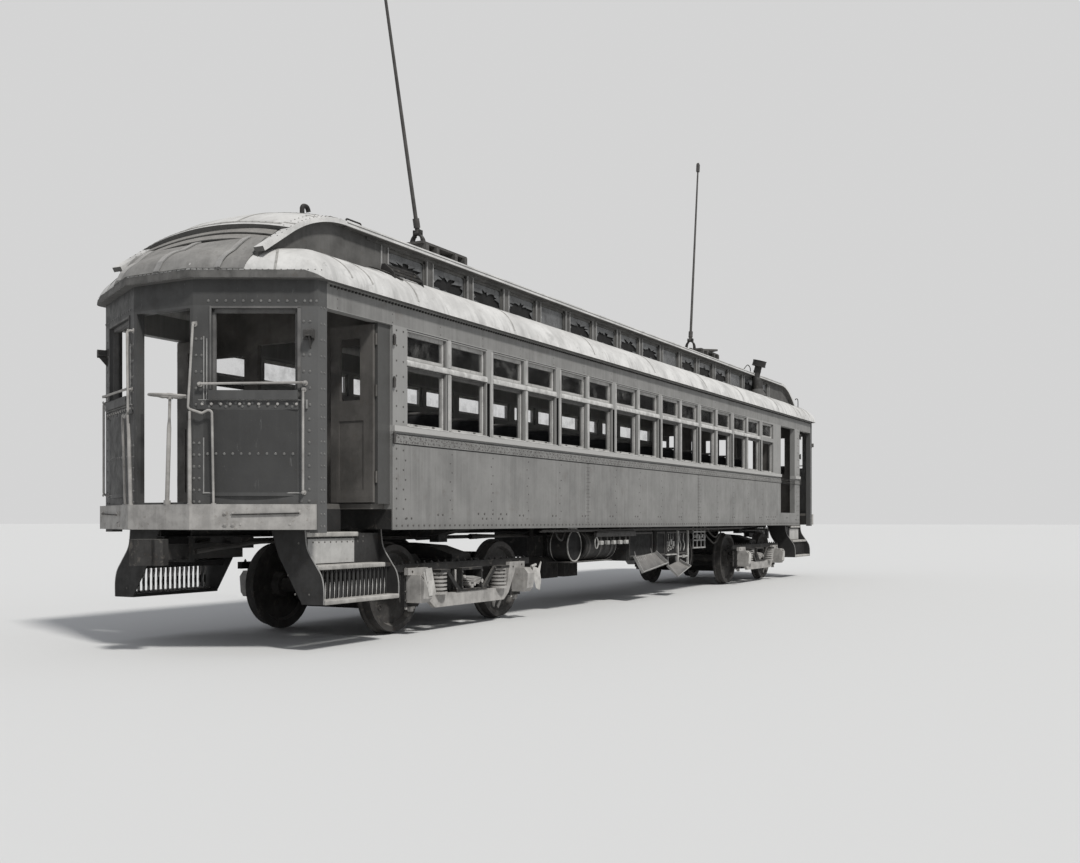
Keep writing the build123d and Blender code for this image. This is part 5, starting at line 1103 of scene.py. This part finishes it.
# ---------------------------------------------------------------- window band
SASH_Z, UPPER_Z = (2.106, 2.699), (2.771, 3.044)    # lights of the lower and of the upper windows
for side, s in SIDES.items():
    slot_shade = Piece(f"post_slot_shade_{side}", "painted_shade_black", "side_sheet")
    stops = Piece(f"sash_stops_{side}", "trim_dull", "sash_paint")
    sills = Piece(f"window_sills_{side}", "sill_paint", "side_sheet")
    lifts = Piece(f"sash_fittings_{side}", "bracket_iron", "dark_iron")
    gap_shade = Piece(f"belt_gap_shade_{side}", "painted_shade_black", "side_sheet")
    # near-black slots at the posts: painted shade in the recess
    for start in PAIR_STARTS:
        x = start + POST_SLOT
        slot_shade.box((x + 0.002, x + 0.062), off_side(s, -0.0475, -0.0445), (2.107, 2.698))
        for edge in (x + 0.0006, x + 0.0610):
            slot_shade.box((edge, edge + 0.0024), off_side(s, -0.046, -0.002), (2.107, 2.698))
        for heights in ((2.107, 2.18), (2.62, 2.698)):
            slot_shade.box((x + 0.010, x + 0.054), off_side(s, -0.046, -0.034), heights)
    face = HALF - 0.034             # of the sashes
    for x in WINDOWS:
        for low, high, heights in ((0.001, 0.010, SASH_Z), (0.701, 0.710, SASH_Z), (0.001, 0.710, (2.691, 2.699)),
                                   (0.001, 0.009, UPPER_Z), (0.702, 0.710, UPPER_Z)):
            stops.box((x + low, x + high), (s * (face - 0.002), s * (face + 0.012)), heights)
        profile(sills, s, x - 0.004, ((-0.036, 2.106), (0.027, 2.102), (0.027, 2.112), (-0.036, 2.124)), 0.719)
        for shift in (0.20, 0.51):
            lifts.box((x + shift - 0.022, x + shift + 0.022), (s * (face - 0.004), s * (face + 0.004)), (2.128, 2.139))
        for shift in (0.019, 0.692):
            for z in (2.18, 2.44, 2.64, 2.83, 2.99):
                lifts.dome((x + shift, s * (face - 0.001), z), (0, s, 0), 0.0055, 0.004, 6)
    cover = Piece(f"mullion_covers_{side}", "cover_paint", "side_sheet")
    joint_shade = Piece(f"mullion_joint_shades_{side}", "painted_shade_black", "side_sheet")
    rail = Piece(f"transom_rails_{side}", "sill_paint", "side_sheet")
    for start in PAIR_STARTS:
        x = start + MULLION
        for foot, height in ((2.113, 0.587), (2.770, 0.290)):
            corners = ((0.030, -0.002), (0.038, 0.007), (0.078, 0.007), (0.086, -0.002))
            cover.prism([(x + u, s * (HALF + out), foot) for u, out in corners], (0, 0, height))
        # near-black strips beside the covers, under the transom rails and under the letterboard: painted shade in the
        # joints
        joint_shade.box((x + 0.013, x + 0.024), off_side(s, -0.002, 0.0012), (2.113, 2.699))
        profile(rail, s, start - 0.012,
                ((-0.002, 2.704), (0.008, 2.711), (0.012, 2.735), (0.006, 2.759), (-0.002, 2.766)), 1.543)
        joint_shade.box((start - 0.012, start + 1.531), off_side(s, -0.002, 0.0012), (2.6985, 2.7045))
        stop = start + (1.531 if start < 3 else 0.74)           # the last pair's painted shade line ends at its first window
        joint_shade.box((start - 0.012, stop), off_side(s, -0.002, 0.0014), (3.0565, 3.0635))
        x = start + POST_COVER
        cover.box((x, x + 0.036), off_side(s, -0.002, 0.005), (2.113, 3.050))
    cover.done(0.0015, 1)
    joint_shade.done()
    rail.done(0.001, 1)
    # thin near-black lines under and over the belt: painted shadow
    gap_shade.box((-7.19, 7.34), off_side(s, -0.003, 0.0035), (1.9265, 1.9350))
    gap_shade.box((-7.19, 7.34), off_side(s, 0.005, 0.0115), (2.0205, 2.0275))
    slot_shade.done()
    stops.done(0.001, 1)
    sills.done(0.002, 1)
    lifts.done()
    gap_shade.done()


# ---------------------------------------------------------------- seats
def pad(piece, centre, half, right, up, crown, seam=0.0):
    """Crowned closed cushion; right and up are its in-plane axes, half its half sizes and depth."""
    centre, right, up = Vector(centre), Vector(right).normalized(), Vector(up).normalized()
    out = right.cross(up)
    across, rings = 30, 13

    def power(v, n):
        return (abs(v) ** n) * (1 if v >= 0 else -1)

    verts = []
    for i in range(rings):
        tilt = -pi / 2 + pi * i / (rings - 1)
        ring, lift = abs(cos(tilt)) ** 0.42, power(sin(tilt), 0.55)
        for k in range(across):
            angle = 2 * pi * k / across + pi / across
            u, v = power(cos(angle), 0.28), power(sin(angle), 0.28)
            pull = 1 - 0.030 * (1 - u * u) * (abs(v) > 0.9) - 0.030 * (1 - v * v) * (abs(u) > 0.9)
            u, v = u * ring * pull, v * ring * pull
            bulge = crown * (1 - u * u) * (1 - v * v) * lift
            depth = half[2] * lift + bulge - seam * (max(0, cos(6 * pi * u)) ** 6) * max(0, lift) * (1 - v * v)
            verts.append(centre + right * (half[0] * u) + up * (half[1] * v) + out * depth)
    faces = []
    for i in range(rings - 1):
        for k in range(across):
            a, b = i * across + k, i * across + (k + 1) % across
            faces.append((a, b, b + across, a + across))
    faces.append(tuple(reversed(range(across))))
    faces.append(tuple(range((rings - 1) * across, rings * across)))
    piece.add(verts, faces)


SEAT_ROWS = [FIRST_PAIR + 0.33 + BAY * k for k in range(14)]
for side, s in SIDES.items():
    middle = s * (HALF - 0.1 - 0.485)               # from the lining of the wall to the middle of a seat
    pads = Piece(f"seat_pads_{side}", "seat_cloth", "seat_cloth")
    piping = Piece(f"seat_piping_{side}", "cushion_back", "seat_cloth")
    bases = Piece(f"seat_bases_{side}", "seat_iron", "dark_iron")
    for k, x in enumerate(SEAT_ROWS):
        worn = 0.004 * sin(k * 2.7)
        pad(pads, (x - 0.005, middle, 1.738), (0.232, 0.462, 0.046), (1, 0, 0), (0, 1, 0), 0.014 + worn)
        rise = Vector((-0.118, 0, 0.545)).normalized()
        pad(pads, (x - 0.232, middle, 2.066), (0.462, 0.262, 0.036), (0, 1, 0), rise, 0.010 + worn, 0.003)
        edge = [(-0.20, -0.452), (0.205, -0.452), (0.222, -0.43), (0.226, 0.0), (0.222, 0.43), (0.205, 0.452),
                (-0.20, 0.452)]
        piping.tube(curve([(x + u, middle + s * v, 1.748) for u, v in edge], 3), 0.0055, 6)
        top = Vector((x - 0.290, middle, 2.322))
        bow = [(0.012, -0.462, -0.05), (0.0, -0.452, -0.006), (0.0, -0.40, 0.0), (0.0, 0.0, 0.006)]
        bow += [(u, -v, z) for u, v, z in bow[2::-1]]
        piping.tube(curve([top + Vector(p) for p in bow], 3), 0.017, 8)
        bases.box((x - 0.145, x + 0.145), (middle - 0.05, middle + 0.05), (1.347, 1.365))
        for way in (-1, 1):
            leg = ((0.08, 1.36), (0.055, 1.50), (0.10, 1.685))
            bases.tube([(x + way * u, middle, z) for u, z in leg], 0.028, 8)
        for v in (-0.44, 0.44):
            bases.box((x - 0.20, x + 0.20), (middle + v - 0.012, middle + v + 0.012), (1.676, 1.700))
            y = middle + v * 1.055
            bases.bar((x - 0.19, y, 1.70), (x - 0.275, y, 2.28), 0.030, 0.010, (1, 0, 0))
        bases.box((x - 0.02, x + 0.02), (middle - 0.44, middle + 0.44), (1.670, 1.690))
    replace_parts(pads.done(), f"seats_{side}")
    piping.done()
    bases.done(0.003, 1)

# ---------------------------------------------------------------- below the floor
pipes = Piece("brake_pipes", "pipe_iron", "dark_iron")
for y, z, sag in ((-0.34, 0.99, 0.0), (0.36, 0.985, 0.02)):
    half = [(8.62, y * 0.5, 0.905), (8.2, y * 0.8, 0.955), (7.6, y, z), (4.2, y, z), (3.7, y * 1.15, z - sag)]
    pipes.tube(curve([(-p[0], *p[1:]) for p in half] + half[::-1], 4), 0.021, 10)
for y, z in ((-1.20, 1.066), (-1.165, 1.052)):
    pipes.tube(curve([(-3.9, y, z), (-2.0, y, z - 0.006), (0.0, y, z), (2.0, y, z - 0.008), (4.0, y, z)], 5), 0.011, 8)
pipes.done()

# ---------------------------------------------------------------- gear hung below the floor
HANGER_TOP = 1.09                            # underside of what the gear hangs from
RAIL = (-1.03, HANGER_TOP)                   # Y and Z of the rail at the side
DRUM_AT = (-0.94, 0.85)                      # Y and Z of the drum that lies lengthwise, a CAD object
CROSS_DRUM = (-2.706, 0.852)                 # X and Z of the drum that lies crosswise


def ring(piece, centre, first, second, radius, thick):
    """Closed round bar about a centre."""
    piece.tube(circle(Vector(centre), Vector(first), Vector(second), radius, 36, 1), thick, 8)


rims = Piece("drum_rims", "trim_bright", "under_paint")
bands = Piece("drum_bands", "bracket_iron", "under_paint")
ring(rims, (-1.57, *DRUM_AT), (0, 1, 0), (0, 0, 1), 0.198, 0.011)
for x in (-2.40, -2.05, -1.70):
    bands.disc((x - 0.022, *DRUM_AT), (1, 0, 0), 0.2005, 0.044, 36, 0.190)
    bands.tube([(x, -0.80, 1.02), (x, -0.80, HANGER_TOP)], 0.010, 8)
bands.box((-2.92, -1.60), (-1.10, -0.76), (0.631, 0.645))
rims.done()
bands.done()
cross = Piece("cross_drum", "under_paint", "under_paint")
drum_x, drum_z = CROSS_DRUM
cross.tube([(drum_x, y, drum_z) for y in (-0.72, -0.735, -0.76, -1.052)], 0.2, 40, (0.120, 0.170, 0.203, 0.203))
cross.done()
head = Piece("cross_drum_head", "trim_bright", "under_paint")
ring(head, (drum_x, -1.052, drum_z), (1, 0, 0), (0, 0, 1), 0.204, 0.010)
ring(head, (drum_x, -0.80, drum_z), (1, 0, 0), (0, 0, 1), 0.203, 0.006)
head.box((drum_x - 0.10, drum_x + 0.10), (-1.05, -1.01), (1.040, 1.088))
head.done()
dish_shade = Piece("cross_drum_dish_shade", "painted_shade_black", "under_paint")
# the drum's dished end in near-black: painted shade
dish_shade.tube([(drum_x, y, drum_z) for y in (-1.050, -1.056, -1.062)], 0.18, 36, (0.196, 0.190, 0.10))
dish_shade.done()

contacts = Piece("contact_rail", "bracket_iron", "dark_iron")
clips = Piece("contact_clips", "trim_bright", "dusty_steel")
contacts.box((-2.34, -0.99), (-1.205, -1.165), (0.965, 1.025))
contacts.box((-2.30, -1.03), (-1.212, -1.16), (1.030, 1.040))
for x in (-2.28, -1.55, -1.06):
    contacts.box((x - 0.022, x + 0.022), (-1.20, -1.02), (1.078, 1.088))
    contacts.box((x - 0.022, x + 0.022), (-1.20, -1.19), (0.97, 1.088))
for k in range(5):
    x = -2.17 + 0.21 * k
    contacts.tube([(x, -1.185, 0.97), (x, -1.185, 0.90)], 0.014, 8)
    clips.box((x - 0.042, x + 0.042), (-1.215, -1.165), (0.858, 0.912))
    clips.dome((x, -1.215, 0.885), (0, -1, 0), 0.012, 0.008)
ring(clips, (-2.31, -1.19, 0.885), (1, 0, 0), (0, 0, 1.5), 0.050, 0.008)
contacts.tube([(-2.31, -1.19, 0.98), (-2.31, -1.19, 0.955)], 0.010, 8)
contacts.done(0.003, 1)
clips.done(0.004, 1)

# ---------------------------------------------------------------- control boxes: frames, switch gear and hung covers
BOX_FACE, BOX_Z = -1.06, (0.66, 1.00)         # front of the boxes, foot and head of their openings
dark = Piece("box_recess_shade", "painted_shade_black", "under_paint")
edges = Piece("box_frames", "bracket_iron", "under_paint")
gear = Piece("switch_gear", "trim_bright", "dusty_steel")
for x0, x1 in ((-0.93, -0.07), (0.12, 0.44), (0.52, 0.92), (1.00, 1.40)):
    # near-black plates in the openings: painted shade in the boxes
    dark.box((x0, x1), (BOX_FACE - 0.002, BOX_FACE + 0.004), BOX_Z)
    for z in BOX_Z:
        edges.box((x0 - 0.012, x1 + 0.012), (BOX_FACE - 0.016, BOX_FACE), (z - 0.012, z + 0.012))
    for x in (x0, x1):
        edges.box((x - 0.012, x + 0.012), (BOX_FACE - 0.016, BOX_FACE), BOX_Z)
for k, x in enumerate((0.59, 0.69, 0.79)):
    lift = 0.03 * (k % 2)
    gear.box((x - 0.022, x + 0.022), (BOX_FACE - 0.030, BOX_FACE), (0.78 + lift, 0.86 + lift))
    ring(gear, (x, BOX_FACE - 0.014, 0.735 + 0.02 * k), (1, 0, 0), (0, 0, 1), 0.028, 0.006)
    gear.tube([(x, BOX_FACE - 0.012, 0.87), (x + 0.008, BOX_FACE - 0.012, 0.985)], 0.005, 6)
for x in (1.10, 1.26):
    line = ((0, -0.012, 0.98), (-0.03, -0.016, 0.88), (0.03, -0.016, 0.80), (0, -0.012, 0.70))
    gear.tube(curve([(x + u, BOX_FACE + out, z) for u, out, z in line], 5), 0.008, 7)
gear.box((0.50, 0.94), (BOX_FACE - 0.030, BOX_FACE), (0.640, 0.660))
for x in (0.985, 1.43):
    gear.box((x - 0.016, x + 0.016), (BOX_FACE - 0.034, BOX_FACE - 0.004), (0.415, 1.03))
gear.box((0.985, 1.43), (BOX_FACE - 0.030, BOX_FACE - 0.006), (0.60, 0.622))
gear.box((1.16, 1.25), (BOX_FACE - 0.050, BOX_FACE - 0.02), (0.588, 0.636))
dark.done()
edges.done(0.002, 1)
gear.done(0.002, 1)


def cover(piece, rim, corners, dent, lip):
    """Hung sheet cover: a dented plate through four corners, its rims turned up."""
    low_left, low_right, high_right, high_left = (Vector(c) for c in corners)
    rows = []
    for i in range(7):
        a, row = i / 6, []
        for j in range(13):
            b = j / 12
            spot = low_left.lerp(low_right, b).lerp(high_left.lerp(high_right, b), a)
            bulge = dent * sin(pi * a) * (sin(pi * b) + 0.45 * sin(3.1 * pi * b + 1))
            row.append(spot + Vector((0, -bulge, 0)))
        rows.append(row)
    piece.sheet(rows, 0.006)
    out = (low_right - low_left).cross(high_left - low_left).normalized()
    for start, stop in ((low_left, low_right), (low_right, high_right), (low_left, high_left)):
        middle = (start + stop) / 2 + out * lip / 2
        rim.bar(middle + (start - stop) / 2, middle + (stop - start) / 2, lip, 0.007, out)


plates = Piece("hung_covers", "trim_dull", "under_paint")
lips = Piece("hung_cover_rims", "cover_paint", "under_paint")
cover(plates, lips, ((-0.90, -1.25, 0.42), (0.08, -1.25, 0.525), (0.02, -1.075, 0.70), (-0.80, -1.075, 0.65)),
      0.022, 0.045)
cover(plates, lips, ((0.55, -1.24, 0.30), (1.10, -1.24, 0.44), (1.02, -1.08, 0.54), (0.50, -1.08, 0.47)), 0.03, 0.04)
for k in range(9):
    x = -0.66 + 0.062 * k
    lips.bar((x, -1.092, 0.642 + 0.062 * (x + 0.8)), (x - 0.035, -1.165, 0.545 + 0.062 * (x + 0.8)), 0.006, 0.006)
for z, y in ((0.645, -1.090), (0.612, -1.115), (0.580, -1.140), (0.548, -1.165)):
    lips.bar((-0.68, y, z), (-0.14, y, z + 0.034), 0.006, 0.006)
for x, z in ((-0.72, 0.66), (-0.10, 0.70), (0.60, 0.50), (0.93, 0.54)):
    plates.bar((x, -1.082, z - 0.03), (x, -1.055, z + 0.09), 0.03, 0.006, (1, 0, 0))
for x, foot in ((0.56, 0.47), (0.93, 0.50)):
    plates.box((x, x + 0.04), (-1.075, -1.055), (foot, 0.62))
plates.done()
lips.done()

rack = Piece("switch_rack", "trim_pale", "dusty_steel")
for z in (0.735, 0.86, 1.0, 1.05):
    rack.box((1.72, 2.30), (-1.075, -1.045), (z - 0.012, z + 0.012))
for x in (1.73, 1.92, 2.11, 2.29):
    rack.box((x - 0.010, x + 0.010), (-1.07, -1.05), (0.735, HANGER_TOP))
for k in range(4):
    rack.disc((1.82 + 0.13 * k, -1.075, 0.93 - 0.02 * (k % 2)), (0, -1, 0), 0.032, 0.022, 12)
rack.box((1.72, 2.30), (-1.06, -1.05), (0.90, 0.955))
rack.done(0.002, 1)

loose = Piece("loose_cables", "pipe_iron", "dark_iron")
for line in (((2.3, -1.03, 1.0), (2.55, -1.06, 0.86), (2.85, -1.05, 0.80), (3.2, -1.03, 0.98), (3.24, *RAIL)),
             ((2.4, *RAIL), (2.62, -1.08, 0.93), (2.90, -1.07, 0.92), (3.1, *RAIL)),
             ((1.5, *RAIL), (1.52, -1.08, 0.86), (1.60, -1.08, 0.62), (1.58, -1.06, 0.46)),
             ((-3.24, *RAIL), (-3.2, -1.05, 0.98), (-3.08, -1.05, 0.93), (-2.97, -1.03, 1.0), (-2.95, *RAIL)),
             ((-0.55, -1.0, 0.61), (-0.40, -1.04, 0.50), (-0.15, -1.03, 0.49), (0.10, -0.98, 0.61))):
    loose.tube(curve(line, 6), 0.012, 8)
loose.done()

# ---------------------------------------------------------------- stove pipe, leaning, with its band cap
STOVE_X = 5.58
foot, _ = cast("roof_deck_right", (STOVE_X, -0.968, 4.0), FROM_ABOVE)       # lines below: Y and Z
stack = Piece("stove_stack", "dark_iron", "dark_iron")
line = ((-0.968, foot.z - 0.03), (-0.966, 3.90), (-0.946, 3.965), (-0.937, 4.02), (-0.993, 4.235))
stack.tube([(STOVE_X, y, z) for y, z in line], 0.07, 28, (0.104, 0.104, 0.080, 0.069, 0.069))
lean = Vector((0, -0.056, 0.215)).normalized()
base = Vector((STOVE_X, -0.988, 4.212))
rise = (0, 0.004, 0.112, 0.116)
stack.tube([base + lean * h for h in rise], 0.13, 32, (0.122, 0.129, 0.129, 0.120))
for share in (0.006, 0.110):
    ring(stack, base + lean * share, (1, 0, 0), lean.cross(Vector((1, 0, 0))), 0.130, 0.006)
ring(stack, (STOVE_X, -0.962, 4.115), (1, 0, 0), (0, 1, 0.26), 0.070, 0.005)
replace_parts(stack.done(0.002, 1), "stove_pipe")
collar = Piece("stove_collar", "flashing", "roof_canvas")
line = ((-0.975, -0.035), (-0.970, 0.045), (-0.968, 0.10))
collar.tube([(STOVE_X, y, foot.z + h) for y, h in line], 0.1, 28, (0.165, 0.128, 0.108))
collar.done()

# ---------------------------------------------------------------- bent wires and a split plank on the roof
wires = Piece("roof_wires", "pipe_iron", "dark_iron")
line = ((5.00, 4.07), (5.06, 4.125), (5.22, 4.128), (5.42, 4.225), (5.52, 4.24), (5.64, 4.20), (5.67, 4.07))
wires.tube(curve([(x, -0.80, z) for x, z in line], 5), 0.009, 8)
HOOK_X, HOOK_Y = 8.46, -0.98
foot, _ = cast("hood_front", (HOOK_X, HOOK_Y, 4.2), FROM_ABOVE)
line = ((0, foot.z - 0.02), (-0.002, 3.69), (0, 3.81), (0.015, 3.845), (0.042, 3.849), (0.062, 3.825))
wires.tube(curve([(HOOK_X, HOOK_Y + y, z) for y, z in line], 5), 0.009, 8)
wires.done()
plank = Piece("roof_plank", "roof_walk", "roof_boards")
outline = ((4.28, -0.27), (4.66, -0.27), (4.60, -0.40), (4.50, -0.53), (4.40, -0.42))
plank.prism([(x, y, 4.4055) for x, y in outline], (0, 0, 0.034))
plank.done(0.004, 1)


# ---------------------------------------------------------------- stage, light and camera
def plane(name, size, z, material):
    mesh = bpy.data.meshes.new(name)
    mesh.from_pydata([(-size, -size, z), (size, -size, z), (size, size, z), (-size, size, z)], [], [(0, 1, 2, 3)])
    mesh.materials.append(material)
    obj = bpy.data.objects.new(name, mesh)
    bpy.context.scene.collection.objects.link(obj)
    return obj


pale = bpy.data.materials.new("pale_floor")
pale.use_nodes = True
pale.node_tree.nodes["Principled BSDF"].inputs["Base Color"].default_value = (0.62, 0.62, 0.61, 1)
pale.node_tree.nodes["Principled BSDF"].inputs["Roughness"].default_value = 0.95
plane("studio_floor", 400, 0.0, pale)

scene = bpy.context.scene
world = bpy.data.worlds.new("studio")
scene.world = world
world.use_nodes = True
tree = world.node_tree
back = tree.nodes["Background"]
back.inputs[0].default_value = (0.9, 0.93, 1.0, 1)
back.inputs[1].default_value = 0.46
seen = tree.nodes.new("ShaderNodeBackground")
seen.inputs[0].default_value = (0.66, 0.66, 0.66, 1)
path = tree.nodes.new("ShaderNodeLightPath")
both = tree.nodes.new("ShaderNodeMixShader")
seen_by = tree.nodes.new("ShaderNodeMath")
seen_by.operation = "ADD"
seen_through = tree.nodes.new("ShaderNodeMath")
seen_through.operation, seen_through.use_clamp = "ADD", True
for output, socket in ((path.outputs["Is Camera Ray"], seen_by.inputs[0]),
                       (path.outputs["Is Glossy Ray"], seen_by.inputs[1]),
                       (seen_by.outputs[0], seen_through.inputs[0]),
                       (path.outputs["Is Transmission Ray"], seen_through.inputs[1]),
                       (seen_through.outputs[0], both.inputs[0]),
                       (back.outputs[0], both.inputs[1]),
                       (seen.outputs[0], both.inputs[2]),
                       (both.outputs[0], tree.nodes["World Output"].inputs["Surface"])):
    tree.links.new(output, socket)

sun_data = bpy.data.lights.new("key", "SUN")
sun_data.energy = 3.0
sun_data.angle = radians(7)
sun_data.color = (1.0, 0.985, 0.96)
sun = bpy.data.objects.new("key", sun_data)
sun.rotation_euler = Vector((-0.30, -0.62, 0.80)).to_track_quat("Z", "Y").to_euler()
scene.collection.objects.link(sun)

camera_data = bpy.data.cameras.new("camera")
camera_data.lens = 38.23
camera_data.sensor_width = 36
camera_data.sensor_fit = "HORIZONTAL"
camera_data.shift_y = 0.0829
camera_data.clip_end = 1000
camera = bpy.data.objects.new("camera", camera_data)
camera.location = (-16.298, -7.767, 1.18)
camera.rotation_euler = (pi / 2, 0, atan2(0.4695, 0.8829) - pi / 2)
scene.collection.objects.link(camera)
scene.camera = camera
scene.view_settings.view_transform = "Standard"
